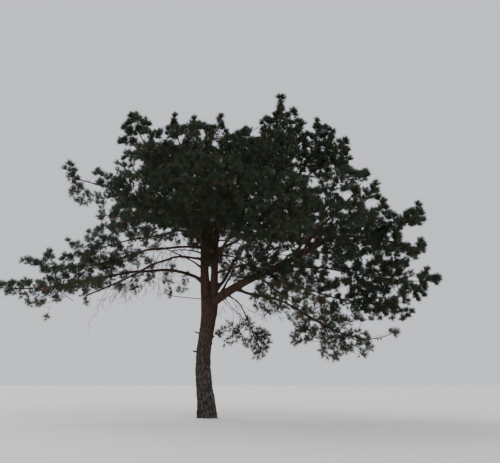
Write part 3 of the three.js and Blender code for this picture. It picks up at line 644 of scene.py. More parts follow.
def camera_place():
    """The camera's pitch, and its place for the foot and the top to fall on their pixels."""
    middle_row = IMAGE_HEIGHT / 2
    pitch = math.atan((HORIZON_ROW - middle_row) / FOCAL_PIXELS)
    to_top = pitch + math.atan((middle_row - TOP_ROW) / FOCAL_PIXELS)
    to_foot = pitch + math.atan((middle_row - FOOT_PIXEL[1]) / FOCAL_PIXELS)
    distance = TREE_HEIGHT / (math.tan(to_top) - math.tan(to_foot))
    below = middle_row - FOOT_PIXEL[1]
    aside = FOOT_PIXEL[0] - IMAGE_WIDTH / 2
    depth = FOCAL_PIXELS * math.cos(pitch) - below * math.sin(pitch)
    return pitch, (-aside * distance / depth, -distance, -distance * math.tan(to_foot))


# Growth. The limbs, masses and main twigs follow the rule of the tree's source, and finer twigs and shoots
# are added inside the same spaces. Leans are in degrees, and an upturn is a share of a direction's length.
TINY = 1e-9
RUN_POINTS = 40  # points over which a curve's length is measured

# The masses' stems and spaces.
FIT_GAP = 0.0003  # between a limb's tip and the stem that grows on from it
SIDE_BARE_SHARE = 0.35  # of the stem of a mass that grows from a limb's side
TIP_BARE_SHARE = 0.04  # of the stem of a mass that grows on from a limb's tip
SPACE_OVERRUN = 0.06
SPACE_POWER = 4
SPACE_MARGIN = 0.04
SIDE_STEM_RADIUS = 0.04
THIN_STEMS = {"trunk_tuft": 0.014}  # the radius of a slighter stem
STEM_END_RADIUS = 0.012
STEM_JOINTS = 14  # places on a stem where fine twigs may start

# The main twigs.
TWIG_SPACING = 0.68
TWIG_LAST_SHARE = 0.96  # of the stem, up to which main twigs start
TWIG_SHORTEST = 0.4  # as a share of the mass's rise
TWIG_LEAN_ROOT = 74
TWIG_LEAN_TIP = 36
TWIG_UPTURN = 0.25
TWIG_LIFT = 0.06  # the upturn from a main twig's root to its end
TWIG_END_UPTURN = 0.3
TWIG_LEAST_FILL = 0.5  # of its room
ROLL_SPREAD = 50
MARCH_STEP = 0.06
MARCH_LIMIT = 60
MAIN_STEPS = 6
SHORTENED = np.linspace(1, 0.3, 15)  # tried lengths of a stem or twig that would stand out of the crown

# The whorls of shoots.
INNER_SPACING = 0.37  # between whorls in the middle of a mass
OUTER_SPACING = 0.27  # between whorls at its skin
WHORL_TRIES = 240  # tried places in a cubic metre
SHOOT_REACH = 0.25  # how far a whorl's needles reach from its middle
WHORL_INSET = 0.8  # of that reach, by which a whorl keeps inside the mass's skin
WHORL_CLEARANCE = 0.3
LIMB_CLEARANCE = 0.14
LIMB_POINT_STEP = 0.08
LIMB_POINTS = 36
LEADER_LENGTH = (0.15, 0.21)
LATERALS = 4
LATERAL_LENGTH = (0.12, 0.19)
LATERAL_LEAN = (42, 68)
LATERAL_ROLL = 0.4  # radians, either way
LATERAL_SETBACK = 0.08  # the furthest that a lateral starts behind its leader
SHOOT_UPTURN = 0.35
SHOOT_BARE_SHARE = 0.35  # of a shoot's length, below its needles

# The fine twigs that reach the whorls.
BEND_WEIGHT = 1.9  # how much a fine twig prefers a joint that already points its way
JOINT_PULL = 0.45  # how much of the joint's direction a fine twig starts with
END_ONWARD = 0.8  # how much a fine twig's end points onward
END_OUTWARD = 0.35  # how much it points out of the mass
END_UPTURN = 0.45
FINE_STEPS = 3
SHORTEST_REACH = 1e-6

# The single sprays at the crown's edge, and the inner sprays.
EDGE_INSET = 4.5  # pixels that a whorl's middle keeps inside the crown's edge
EDGE_SEARCH = 4.5  # how far before and behind the trunk an edge spray may stand
EDGE_SEARCH_POINTS = 61
EDGE_SPRAY_LENGTH = 0.19
EDGE_UPTURN = 0.8
EDGE_LATERALS = 4
EDGE_LATERAL_SHARE = (0.7, 0.95)  # of the spray's length
EDGE_LEAN = (25, 45)
INNER_SEED = 57
INNER_TRIES = 400
INNER_JOINTS = np.linspace(0.15, 1, 24)  # shares of a limb's run where twigs to the inner sprays may start


def unit(v):
    """Vectors scaled to a length of one."""
    v = np.asarray(v, float)
    return v / np.maximum(np.linalg.norm(v, axis=-1, keepdims=True), TINY)


def place_of(heading, out, height):
    """A place from its heading, its distance from the upright axis and its height."""
    angle = math.radians(heading)
    return np.array([out * math.cos(angle), out * math.sin(angle), height])


def chance(seed, step):
    """A repeatable number from 0 to 1, the same as in the tree's source."""
    return math.sin(seed * 12.9898 + step * 78.233) * 43758.5453 % 1


def raised(start, end, degrees):
    """The level direction from one point to another, raised by an angle above level."""
    return turned(unit((end - start) * (1, 1, 0)), UP, degrees)


def turned(way, towards, degrees):
    """A direction turned from one way towards another that is square to it."""
    return way * math.cos(math.radians(degrees)) + towards * math.sin(math.radians(degrees))


def curve_between(start, start_way, end, end_way):
    """The four points of a smooth curve with a given direction at each end."""
    handle = np.linalg.norm(end - start) / 3
    return np.array([start, start + start_way * handle, end - end_way * handle, end])


def on_curve(curve, t):
    """Points on a curve at shares of its run."""
    t = np.atleast_1d(np.asarray(t, float))[:, None]
    a, b, c, d = curve
    return (1 - t) ** 3 * a + 3 * (1 - t) ** 2 * t * b + 3 * (1 - t) * t * t * c + t ** 3 * d


def way_on(curve, t):
    """Directions of a curve at shares of its run."""
    t = np.atleast_1d(np.asarray(t, float))[:, None]
    a, b, c = np.diff(curve, axis=0)
    return unit((1 - t) ** 2 * a + 2 * (1 - t) * t * b + t * t * c)


def run_of(curve):
    """A curve's length."""
    return np.linalg.norm(np.diff(on_curve(curve, np.linspace(0, 1, RUN_POINTS)), axis=0), axis=1).sum()


def square_to(way, angle):
    """The direction square to a way, turned round it by an angle."""
    side = unit(np.cross(way, BACK if abs(way[2]) > STEEP else UP))
    return side * math.cos(angle) + np.cross(side, way) * math.sin(angle)


def trunk_at(height):
    """The trunk's middle and radius at a height."""
    x, y, radius = (np.interp(height, TRUNK_STATIONS[:, 0], TRUNK_STATIONS[:, k]) for k in (1, 2, 3))
    return np.stack([x, y, np.asarray(height, float)], -1), radius


class Limb:
    """One tapering limb on its curve."""

    def __init__(self, curve, radii):
        self.curve = curve
        self.radii = radii
        self.run = run_of(curve)

    def radius(self, t):
        """Its radius at a share of its run."""
        return self.radii[0] + (self.radii[1] - self.radii[0]) * t


def root_on(limbs, parent, at):
    """Where a limb or a mass starts on what carries it."""
    return trunk_at(at)[0] if parent == "trunk" else on_curve(limbs[parent].curve, at)[0]


def tip_of(limbs, name):
    """The tip of the trunk or of a limb, with the direction and the radius there."""
    if name == "trunk":
        tip, radius = trunk_at(TRUNK_TOP)
        return tip, UP, float(radius)
    limb = limbs[name]
    return limb.curve[3], way_on(limb.curve, 1)[0], limb.radii[1]


def grow_limbs(rows, limbs):
    """Add limbs to those that are grown."""
    for name, parent, at, tip, slopes, radii in rows:
        root = root_on(limbs, parent, at) + np.array([BESIDE.get(name, 0), 0, 0])
        end = place_of(*tip)
        start_way, end_way = (raised(root, end, slope) for slope in slopes)
        limbs[name] = Limb(curve_between(root, start_way, end, end_way), radii)
    return limbs


class Mass:
    """A mass's stem and the space that it fills."""

    def __init__(self, row, seed, limbs):
        self.name, on, at, end, self.rise, self.spread = row
        self.seed = seed
        end = place_of(*end)
        from_side = at is not None
        if from_side:
            root = root_on(limbs, on, at)
            start_way = unit(end - root)
            self.root_radius = THIN_STEMS.get(self.name, SIDE_STEM_RADIUS)
        else:
            tip, start_way, self.root_radius = tip_of(limbs, on)
            root = tip + start_way * FIT_GAP
        end_way = unit(unit(end - root) + UP * TWIG_UPTURN)
        self.curve = curve_between(root, start_way, end, end_way)
        self.bare = SIDE_BARE_SHARE if from_side else TIP_BARE_SHARE
        self.last = 1 - SHOOT_REACH / np.linalg.norm(end - root)
        start = root + (end - root) * (SIDE_BARE_SHARE if from_side else 0)
        along = unit(end - start)
        side = unit(np.cross(UP, along))
        self.middle = (start + end) / 2
        self.axes = np.array([along, side, np.cross(along, side)])
        self.halves = np.array([np.linalg.norm(end - start) / 2 + SPACE_OVERRUN, self.spread, self.rise])

    def outness(self, points, inset=0.0):
        """How far out points are: 0 in the middle and 1 on the skin, or on a skin set in from it."""
        shares = np.abs((points - self.middle) @ self.axes.T) / (self.halves - inset)
        return (shares ** SPACE_POWER).sum(-1) ** (1 / SPACE_POWER)


def owns(masses, mass, points):
    """Whether points lie in a mass's space, and nearer to its middle than to any other's."""
    own = mass.outness(points)
    inside = own <= 1
    for other in masses:
        if other is not mass:
            inside &= other.outness(points) > own + SPACE_MARGIN
    return inside


def room_along(masses, mass, root, way):
    """How far a mass's own space reaches from a point in a direction."""
    steps = MARCH_STEP * np.arange(1, MARCH_LIMIT)
    inside = owns(masses, mass, root + way * steps[:, None])
    return MARCH_STEP * (len(steps) if inside.all() else int(np.argmin(inside)))


def main_twigs(masses, mass):
    """The twigs that the frame's mass has too: where each starts, its direction and its room."""
    count = round(run_of(mass.curve) * (1 - mass.bare) / TWIG_SPACING)
    for k in range(count):
        share = mass.bare + (TWIG_LAST_SHARE - mass.bare) * (k + 0.5) / count
        way = way_on(mass.curve, share)[0]
        roll = math.radians(GOLDEN_ANGLE * k + ROLL_SPREAD * chance(mass.seed, k))
        lean = TWIG_LEAN_ROOT + (TWIG_LEAN_TIP - TWIG_LEAN_ROOT) * share
        way = unit(turned(way, square_to(way, roll), lean) + UP * TWIG_UPTURN)
        root = on_curve(mass.curve, share)[0]
        room = room_along(masses, mass, root, way)
        if room >= TWIG_SHORTEST * mass.rise:
            yield root, way, room


def limb_points(limbs):
    """Points along the trunk and limbs with the radius at each, for keeping whorls off them."""
    middles, radii = trunk_at(np.arange(0, TRUNK_TOP, LIMB_POINT_STEP))
    t = np.linspace(0, 1, LIMB_POINTS)
    points = [middles] + [on_curve(limb.curve, t) for limb in limbs.values()]
    widths = [radii] + [limb.radius(t) for limb in limbs.values()]
    return np.vstack(points), np.concatenate(widths)


def in_picture(points):
    """Where points fall in the photograph, in pixels."""
    pitch, eye = camera_place()
    offset = points - np.array(eye)
    depth = offset[:, 1] * math.cos(pitch) + offset[:, 2] * math.sin(pitch)
    rise = offset[:, 2] * math.cos(pitch) - offset[:, 1] * math.sin(pitch)
    column = IMAGE_WIDTH / 2 + FOCAL_PIXELS * offset[:, 0] / depth
    return np.stack([column, IMAGE_HEIGHT / 2 - FOCAL_PIXELS * rise / depth], axis=1)


def from_picture(pixels, y):
    """The places that fall on pixels of the photograph, each in the upright plane at its Y."""
    pitch, eye = camera_place()
    aside = (pixels[:, 0] - IMAGE_WIDTH / 2) / FOCAL_PIXELS
    rise = (IMAGE_HEIGHT / 2 - pixels[:, 1]) / FOCAL_PIXELS
    depth = (y - eye[1]) / (math.cos(pitch) - rise * math.sin(pitch))
    height = eye[2] + (math.sin(pitch) + rise * math.cos(pitch)) * depth
    return np.stack([eye[0] + aside * depth, y, height], axis=1)


def inside_outline(pixels, corners, inset):
    """Whether pixels lie inside an outline, and further from it than the inset."""
    starts = np.array(corners, float)
    along = np.roll(starts, -1, axis=0) - starts
    offset = pixels[:, None] - starts
    share = np.clip((offset * along).sum(2) / (along ** 2).sum(1), 0, 1)
    apart = np.linalg.norm(offset - share[..., None] * along, axis=2).min(1)
    crosses = (offset[..., 1] > 0) != (offset[..., 1] > along[:, 1])
    level = np.where(along[:, 1] == 0, 1, along[:, 1])
    beyond = offset[..., 0] < offset[..., 1] * along[:, 0] / level
    return ((crosses & beyond).sum(1) % 2 == 1) & (apart > inset)


def spacing_shares(points):
    """The spacing of shoots at each point as a share of the usual one, and whether the point is open sky."""
    pixels = in_picture(points)
    shares = np.ones(len(points))
    for _, middle, halves, share in reversed(CROWN_PLACES):
        inside = (((pixels - middle) / halves) ** 2).sum(1) < 1
        shares[inside] = share
    outlines = (CROWN_OUTLINE, HANGING_OUTLINE, TRUNK_TUFT_OUTLINE)
    covered = np.any([inside_outline(pixels, corners, EDGE_INSET) for corners in outlines], axis=0)
    return shares, (shares == OPEN) | ~covered


def covered_first(points):
    """Which of some points is the first inside the crown as photographed, or the last point if none is."""
    _, is_open = spacing_shares(points)
    return len(points) - 1 if is_open.all() else int(np.argmin(is_open))


def edge_spots(masses):
    """The places of the single sprays by mass name, each where its line of sight is deepest in a mass."""
    spots = {mass.name: [] for mass in masses}
    depths = np.linspace(-EDGE_SEARCH, EDGE_SEARCH, EDGE_SEARCH_POINTS)
    for pixel in EDGE_SPRAYS:
        sight = from_picture(np.repeat([pixel], len(depths), axis=0), depths)
        outness = np.array([mass.outness(sight) for mass in masses])
        best, at = np.unravel_index(np.argmin(outness), outness.shape)
        spots[masses[best].name].append(sight[at])
    return {name: np.array(found).reshape(-1, 3) for name, found in spots.items()}


def clear_of(taken, spot, distance):
    """Whether a spot is further than a distance from all that are taken."""
    return not len(taken) or np.linalg.norm(taken - spot, axis=1).min() > distance


def whorl_places(masses, mass, obstacles, edge, rng):
    """Where a mass's whorls stand: at random, closer near its skin and clear of the single sprays."""
    points, widths = obstacles
    tries = int(np.prod(2 * mass.halves) * WHORL_TRIES)
    spots = mass.middle + (rng.uniform(-1, 1, (tries, 3)) * mass.halves) @ mass.axes
    spots = spots[owns(masses, mass, spots) & (mass.outness(spots, WHORL_INSET * SHOOT_REACH) < 1)]
    gaps = np.linalg.norm(spots[:, None] - points, axis=2) - widths
    spots = spots[gaps.min(1) > LIMB_CLEARANCE]
    shares, is_open = spacing_shares(spots)
    spots, shares = spots[~is_open], shares[~is_open]
    kept = edge
    for spot, share, out in zip(spots, shares, mass.outness(spots)):
        if clear_of(kept, spot, share * (INNER_SPACING + (OUTER_SPACING - INNER_SPACING) * out * out)):
            kept = np.vstack([kept, spot])
    return kept[len(edge):]


def bent_path(start, start_way, end, end_way, steps):
    """Points along a curve between two places."""
    return on_curve(curve_between(start, start_way, end, end_way), np.linspace(0, 1, steps + 1))


def reach_spots(twigs, joints, ways, owner, spots, middle):
    """Grow a fine twig to each spot from the joint that suits it best, and give each (spot, direction)."""
    reached = {}
    nearest = [np.linalg.norm(joints - spot, axis=1).min() for spot in spots]
    for k in np.argsort(nearest):
        spot = spots[k]
        to = spot - joints
        length = np.linalg.norm(to, axis=1)
        bend = (to * ways).sum(1) / np.maximum(length, SHORTEST_REACH)
        best = int(np.argmin(length * (BEND_WEIGHT - bend)))
        way = unit(to[best])
        end_way = unit(way * END_ONWARD + unit(spot - middle) * END_OUTWARD + UP * END_UPTURN)
        path = bent_path(joints[best], unit(ways[best] * JOINT_PULL + way), spot, end_way, FINE_STEPS)
        twigs.append((path, int(owner[best])))
        joints = np.vstack([joints, path[1:]])
        ways = np.vstack([ways, unit(np.diff(path, axis=0))])
        owner = np.concatenate([owner, np.full(FINE_STEPS, len(twigs) - 1)])
        reached[int(k)] = (spot, end_way)
    return [reached[k] for k in range(len(spots))]


def grow_twigs(masses, mass, obstacles, edge, rng):
    """A mass's twigs as (points, number of its carrier or -1 for the stem), its whorls and edge sprays."""
    lengths = mass.last * SHORTENED
    mass.last = lengths[covered_first(on_curve(mass.curve, lengths))]
    t = np.linspace(mass.bare, mass.last, STEM_JOINTS)
    joints, ways, owner = [on_curve(mass.curve, t)], [way_on(mass.curve, t)], [np.full(len(t), -1)]
    twigs = []
    for root, way, room in main_twigs(masses, mass):
        longest = max(TWIG_LEAST_FILL * room, room - SHOOT_REACH)
        ends = root + np.outer(SHORTENED * longest, unit(way + UP * TWIG_LIFT))
        end = ends[covered_first(ends)]
        path = bent_path(root, way, end, unit(way + UP * TWIG_END_UPTURN), MAIN_STEPS)
        twigs.append((path, -1))
        joints.append(path[1:])
        ways.append(unit(np.diff(path, axis=0)))
        owner.append(np.full(MAIN_STEPS, len(twigs) - 1))
    whorls = [(on_curve(mass.curve, mass.last)[0], way_on(mass.curve, mass.last)[0])]
    whorls += [(path[-1], unit(path[-1] - path[-2])) for path, _ in twigs]
    _, is_open = spacing_shares(np.array([tip for tip, _ in whorls]))
    whorls = [whorl for whorl, gone in zip(whorls, is_open) if not gone]
    taken = np.array([tip for tip, _ in whorls])
    spots = whorl_places(masses, mass, obstacles, edge, rng)
    spots = [spot for spot in spots if clear_of(taken, spot, WHORL_CLEARANCE)]
    joints, ways, owner = np.vstack(joints), np.vstack(ways), np.concatenate(owner)
    reached = reach_spots(twigs, joints, ways, owner, [*spots, *edge], mass.middle)
    return twigs, whorls + reached[:len(spots)], reached[len(spots):]


def edge_shoots(middle, way, rng):
    """The shoots of a narrow spray at the crown's edge, as (root, direction, length)."""
    way = unit(way + UP * EDGE_UPTURN)
    root = middle - way * EDGE_SPRAY_LENGTH / 2
    roll = rng.uniform(0, 2 * math.pi)
    shoots = [(root, way, EDGE_SPRAY_LENGTH)]
    for k in range(EDGE_LATERALS):
        side = square_to(way, roll + 2 * math.pi * k / EDGE_LATERALS)
        lean = turned(way, side, rng.uniform(*EDGE_LEAN))
        shoots.append((root, lean, rng.uniform(*EDGE_LATERAL_SHARE) * EDGE_SPRAY_LENGTH))
    return shoots


def whorl_shoots(tip, way, rng):
    """The shoots of one whorl as (root, direction, length): a leader and a ring of laterals round it."""
    shoots = [(tip, unit(way + UP * SHOOT_UPTURN), rng.uniform(*LEADER_LENGTH))]
    roll = rng.uniform(0, 2 * math.pi)
    for k in range(LATERALS):
        side = square_to(way, roll + 2 * math.pi * k / LATERALS + rng.uniform(-LATERAL_ROLL, LATERAL_ROLL))
        lean = unit(turned(way, side, rng.uniform(*LATERAL_LEAN)) + UP * SHOOT_UPTURN)
        root = tip - way * rng.uniform(0, LATERAL_SETBACK)
        shoots.append((root, lean, rng.uniform(*LATERAL_LENGTH)))
    return shoots


class Foliage:
    """The twigs, whorls and shoots of one mass, or of the inner sprays that have no mass."""

    def __init__(self, mass, twigs, whorls, edges, rng, aged_and_glow):
        self.mass = mass
        self.twigs = twigs
        self.whorls = whorls
        shoots = [shoot for tip, way in whorls for shoot in whorl_shoots(tip, way, rng)]
        shoots += [shoot for middle, way in edges for shoot in edge_shoots(middle, way, rng)]
        self.roots = np.array([root for root, _, _ in shoots])
        self.ends = np.array([root + way * length for root, way, length in shoots])
        self.starts = self.roots + (self.ends - self.roots) * SHOOT_BARE_SHARE
        # Shoots in the shaded region and the inner sprays get more olive and brown: partly old needles,
        # partly a painted warm glow of low back light.
        shares = AGED_AND_GLOW_SHARES if aged_and_glow else [share for _, share in NEEDLE_KINDS]
        self.kinds = rng.choice(len(NEEDLE_KINDS), len(shoots), p=shares)


def mass_foliage(masses, mass, obstacles, edge):
    """The foliage of one mass."""
    rng = np.random.default_rng(mass.seed)
    twigs, whorls, edges = grow_twigs(masses, mass, obstacles, edge, rng)
    return Foliage(mass, twigs, whorls, edges, rng, mass.name in REGIONS["shaded"])


def inner_foliage(limbs):
    """The small sprays under the dense masses, on twigs from the nearest limbs."""
    rng = np.random.default_rng(INNER_SEED)
    joints = np.vstack([on_curve(limb.curve, INNER_JOINTS) for limb in limbs.values()])
    ways = np.vstack([way_on(limb.curve, INNER_JOINTS) for limb in limbs.values()])
    spots = []
    for _, middle, halves, (front, back), spacing in INNER_SPRAYS:
        angle = rng.uniform(0, 2 * np.pi, INNER_TRIES)
        out = np.sqrt(rng.uniform(0, 1, INNER_TRIES))
        pixels = middle + np.stack([np.cos(angle), np.sin(angle)], axis=1) * out[:, None] * halves
        for spot in from_picture(pixels, rng.uniform(front, back, INNER_TRIES)):
            if clear_of(np.array(spots), spot, spacing):
                spots.append(spot)
    twigs = []
    whorls = reach_spots(twigs, joints, ways, np.full(len(joints), -1), spots, joints.mean(axis=0))
    return Foliage(None, twigs, whorls, [], rng, True)


@functools.cache
def growth():
    """The whole tree's limbs and its foliage by mass name."""
    limbs = grow_limbs(LIMBS, {})
    masses = [Mass(row, seed, limbs) for seed, row in enumerate(OPEN_MASSES + DENSE_MASSES, 1)]
    obstacles = limb_points(limbs)
    edges = edge_spots(masses)
    foliage = {mass.name: mass_foliage(masses, mass, obstacles, edges[mass.name]) for mass in masses}
    grow_limbs(SMALL_LIMBS, limbs)
    foliage[INNER] = inner_foliage(limbs)
    return limbs, foliage


# Meshes.
def new_piece(name, vertices, faces, smooth=True):
    """An object at the origin with its place in its mesh."""
    mesh = bpy.data.meshes.new(name)
    mesh.from_pydata(vertices, [], faces)
    mesh.update()
    return piece_of(name, mesh, smooth)


def piece_of(name, mesh, smooth=True):
    """A mesh's object, smooth or flat shaded, in the scene."""
    mesh.name = name
    if smooth:
        mesh.shade_smooth()
    else:
        mesh.shade_flat()
    piece = bpy.data.objects.new(name, mesh)
    bpy.context.scene.collection.objects.link(piece)
    return piece


def evaluated_mesh(piece):
    """The piece's mesh with its modifiers worked out, after which the piece itself is removed."""
    evaluated = piece.evaluated_get(bpy.context.evaluated_depsgraph_get())
    mesh = bpy.data.meshes.new_from_object(evaluated)
    bpy.data.objects.remove(piece)
    return mesh


def sides_of(ways):
    """Two directions square to each way of many paths, turned as little as can be along a path."""
    mean = unit(ways.mean(axis=1))
    least = np.eye(3)[np.argmin(np.abs(mean), axis=1)]
    side = unit(np.cross(ways, least[:, None]))
    return side, np.cross(ways, side)


def ring_angles(sides):
    """The angles of a ring's corners."""
    return 2 * np.pi * np.arange(sides) / sides


def ring_ways(side, lift, sides):
    """The directions to a ring's corners, from two directions square to its axis."""
    angle = ring_angles(sides)[:, None]
    return side[..., None, :] * np.cos(angle) + lift[..., None, :] * np.sin(angle)


def tube_faces(count, rings, sides):
    """The faces of closed tubes whose corners are numbered tube by tube and ring by ring."""
    first = (np.arange(count) * rings * sides)[:, None, None]
    corner = np.arange(rings * sides).reshape(rings, sides)
    after = np.roll(corner, -1, axis=1)
    quads = np.stack([corner[:-1], after[:-1], after[1:], corner[1:]], -1).reshape(1, -1, 4)
    faces = (first + quads).reshape(-1, 4).tolist()
    faces += (first[:, 0] + corner[0][::-1]).tolist()
    faces += (first[:, 0] + corner[-1]).tolist()
    return faces


def tubes(paths, radii, sides):
    """Closed tubes along paths of equally many points, with a radius for each point."""
    count, rings, _ = paths.shape
    side, lift = sides_of(unit(np.gradient(paths, axis=1)))
    vertices = paths[:, :, None] + ring_ways(side, lift, sides) * radii[..., None, None]
    return vertices.reshape(-1, 3), tube_faces(count, rings, sides)


def joined(parts):
    """Several lists of vertices and faces as one."""
    vertices, faces, start = [], [], 0
    for points, corners in parts:
        vertices.append(points)
        faces += [[start + k for k in face] for face in corners]
        start += len(points)
    return np.vstack(vertices), faces


def smooth_step(low, high, value):
    """0 below one value, 1 above another and smooth between."""
    share = np.clip((value - low) / (high - low), 0, 1)
    return share * share * (3 - 2 * share)


# The bark's relief.
PLATE_EDGE = (0.03, 0.3)  # the shares of a plate's width between which it rises from its furrow
FLAKE_EDGE = (0.02, 0.25)
PLATE_WARP = 0.35  # how far noise bends the edges, as a share of a plate's width
PLATE_WARP_SCALE = 0.9
PLATES_END = 1.0  # how far above the top of the plates the last ones are
PLATES_WHOLE = 0.9  # how far below it no flakes are left
PLATES_SHIFT = 0.5  # how far noise shifts both
FLAKES_ON_PLATES = 0.4  # how deep the flakes' cracks are on the plates, as a share of their full depth
UNEVENNESS = 0.016
ROUGHNESS = 0.005


def plates(points, width, length, seed):
    """The distance from the cracks between a bark's plates, as a share of a plate's width."""
    noise.seed_set(seed)  # the noise vectors follow the clock otherwise
    scale = Vector((1 / width, 1 / width, 1 / length))
    shift = Vector((seed, 2 * seed, 3 * seed))
    values = np.empty(len(points))
    for k, point in enumerate(points):
        spot = Vector(point) * scale + shift
        spot += PLATE_WARP * noise.noise_vector(spot * PLATE_WARP_SCALE)
        near = noise.voronoi(spot)[0]
        values[k] = near[1] - near[0]
    return values


def flakes(points, width, seed):
    """0 in the cracks between thin flakes of bark and 1 on them."""
    return smooth_step(*FLAKE_EDGE, plates(points, width, 2 * width, seed))


def uneven(points, scale, seed):
    """Smooth noise about zero at each point."""
    shift = Vector((seed, seed, seed))
    return np.array([noise.noise(Vector(point) * scale + shift) for point in points])


def mesh_points(mesh):
    """A mesh's vertex places and directions."""
    places = np.empty(3 * len(mesh.vertices))
    mesh.vertices.foreach_get("co", places)
    normals = np.empty(3 * len(mesh.vertices))
    mesh.vertex_normals.foreach_get("vector", normals)
    return places.reshape(-1, 3), normals.reshape(-1, 3)


def carve(mesh, places, normals, depth, raised_share):
    """Push a mesh's surface in by a depth at each vertex, and keep how much of the relief stands there."""
    mesh.vertices.foreach_set("co", (places - normals * depth[:, None]).ravel())
    relief = mesh.attributes.new("relief", "FLOAT", "POINT")
    relief.data.foreach_set("value", raised_share)
    mesh.update()


def carve_trunk(mesh, bark):
    """Carve furrows between plates at the foot, and cracks between flakes higher up."""
    places, normals = mesh_points(mesh)
    height = places[:, 2] + PLATES_SHIFT * uneven(places, scale=1.4, seed=3)
    low = smooth_step(bark.plate_top + PLATES_END, bark.plate_top - PLATES_WHOLE, height)
    plate = smooth_step(*PLATE_EDGE, plates(places, bark.plate_width, bark.plate_length, seed=4))
    flake = flakes(places, bark.flake_width, seed=9)
    lost = 1 - FLAKES_ON_PLATES
    depth = bark.furrow_depth * (1 - plate) * low + bark.flake_depth * (1 - flake) * (1 - lost * low)
    depth -= UNEVENNESS * uneven(places, scale=3.1, seed=7) + ROUGHNESS * uneven(places, scale=21, seed=5)
    # The relief kept here masks the lichen and the painted shade in the furrows and cracks.
    carve(mesh, places, normals, depth, flake * (1 - low) + plate * (lost + FLAKES_ON_PLATES * flake) * low)


# The trunk, second stem and great bough.
TRUNK_SIDES = 48
RING_STEP = 0.04
SMOOTH_WINDOW = 7
FLARE_LOBES = 5
FLARE_DEPTH = 0.12  # how far a root buttress stands out, as a share of the radius
FLARE_HEIGHT = 0.55
FLARE_MOST = 1.1  # the most that the flare's fading share grows to, just below the ground
FLARE_POWER = 1.5
FLARE_TURN = 0.4  # radians
BELOW_GROUND = 0.08  # cut off again at the ground
THICK_SIDES = 32
THICK_SWELL = 0.12  # how much wider a thick limb's root is, as a share of its radius
THICK_SWELL_FADE = 4  # how fast that fades along the limb
ROOT_OVERRUN = 0.08  # how far a thick limb goes on behind its root, as a share of its length
ROOT_NARROWING = 1.4  # overruns behind the root, where the limb would end in a point
COLLAR_LENGTH = 0.16  # a bough's swollen root, past its parent's surface
COLLAR_SWELL = 1.7
COLLAR_START = 0.02  # the share of the run below that surface where the swelling is at its most
COLLAR_SLIMMING = 0.12  # how much thinner than the bough a collar ends, inside the bough's bark
COLLAR_RINGS = 9
COLLAR_SIDES = 12
ROOT_SHARES = np.linspace(0, 0.6, 121)  # of a bough's run, where it may come out of its carrier
CARRIER_POINTS = 160  # along a limb, from which that is measured
SOFTENING = 6  # passes of smoothing over the joined mesh


def trunk_tube():
    """The trunk with its root flare, down to just below the ground."""
    heights = np.arange(-BELOW_GROUND, TRUNK_TOP, RING_STEP)
    middles, radii = trunk_at(heights)
    edge = SMOOTH_WINDOW // 2
    window = np.ones(SMOOTH_WINDOW) / SMOOTH_WINDOW
    for values in (middles[:, 0], middles[:, 1], radii):
        values[edge:-edge] = np.convolve(values, window, "valid")
    angle = ring_angles(TRUNK_SIDES)
    fade = np.clip(1 - heights / FLARE_HEIGHT, 0, FLARE_MOST)[:, None]
    lobes = 1 + FLARE_DEPTH * fade ** FLARE_POWER * np.cos(FLARE_LOBES * angle + FLARE_TURN)
    ring = np.stack([np.cos(angle), np.sin(angle), np.zeros(TRUNK_SIDES)], -1)
    vertices = middles[:, None] + ring * (radii[:, None] * lobes)[..., None]
    return vertices.reshape(-1, 3), tube_faces(1, len(heights), TRUNK_SIDES)


def limb_tube(limb):
    """A thick limb as a tube with a swollen root, whose end narrows down into what carries it."""
    t = np.linspace(-ROOT_OVERRUN, 1, int(limb.run / RING_STEP))
    radii = limb.radius(t) * (1 + THICK_SWELL * np.exp(-THICK_SWELL_FADE * np.clip(t, 0, 1)))
    radii *= smooth_step(-ROOT_NARROWING * ROOT_OVERRUN, ROOT_OVERRUN, t)
    return tubes(on_curve(limb.curve, t)[None], radii[None], THICK_SIDES)


def surface_share(limbs, parent, limb):
    """The share of a limb's run at which it comes out of what carries it."""
    points = on_curve(limb.curve, ROOT_SHARES)
    if parent == "trunk":
        middle, radius = trunk_at(points[:, 2])
        out = np.linalg.norm(points - middle, axis=1) - radius
    else:
        carrier = limbs[parent]
        line = on_curve(carrier.curve, np.linspace(0, 1, CARRIER_POINTS))
        apart = np.linalg.norm(points[:, None] - line, axis=2)
        out = apart.min(1) - carrier.radius(apart.argmin(1) / (CARRIER_POINTS - 1))
    outside = np.flatnonzero(out > 0)
    return float(ROOT_SHARES[outside[0]]) if len(outside) else 0.0


def collars(limbs):
    """The swollen roots of the boughs, which blend into the trunk's mesh."""
    for name, parent, *_ in LIMBS + SMALL_LIMBS:
        if name in THICK_LIMBS or parent not in ("trunk", *THICK_LIMBS):
            continue
        limb = limbs[name]
        out = surface_share(limbs, parent, limb)
        end = min(1, out + COLLAR_LENGTH / limb.run)
        t = np.linspace(0, end, COLLAR_RINGS)
        swell = 1 + (COLLAR_SWELL - 1) * smooth_step(end, max(out - COLLAR_START, 0), t)
        radii = limb.radius(t) * swell * (1 - COLLAR_SLIMMING * smooth_step(out, end, t))
        yield tubes(on_curve(limb.curve, t)[None], radii[None], COLLAR_SIDES)


def cut_at_ground(mesh):
    """Cut a closed mesh flat at the ground and close it there."""
    shape = bmesh.new()
    shape.from_mesh(mesh)
    everything = shape.verts[:] + shape.edges[:] + shape.faces[:]
    cut = bmesh.ops.bisect_plane(
        shape, geom=everything, plane_co=(0, 0, 0), plane_no=(0, 0, 1), clear_inner=True
    )
    rim = [part for part in cut["geom_cut"] if isinstance(part, bmesh.types.BMEdge)]
    closing = bmesh.ops.contextual_create(shape, geom=rim)
    bmesh.ops.triangulate(shape, faces=closing["faces"])
    shape.to_mesh(mesh)
    shape.free()


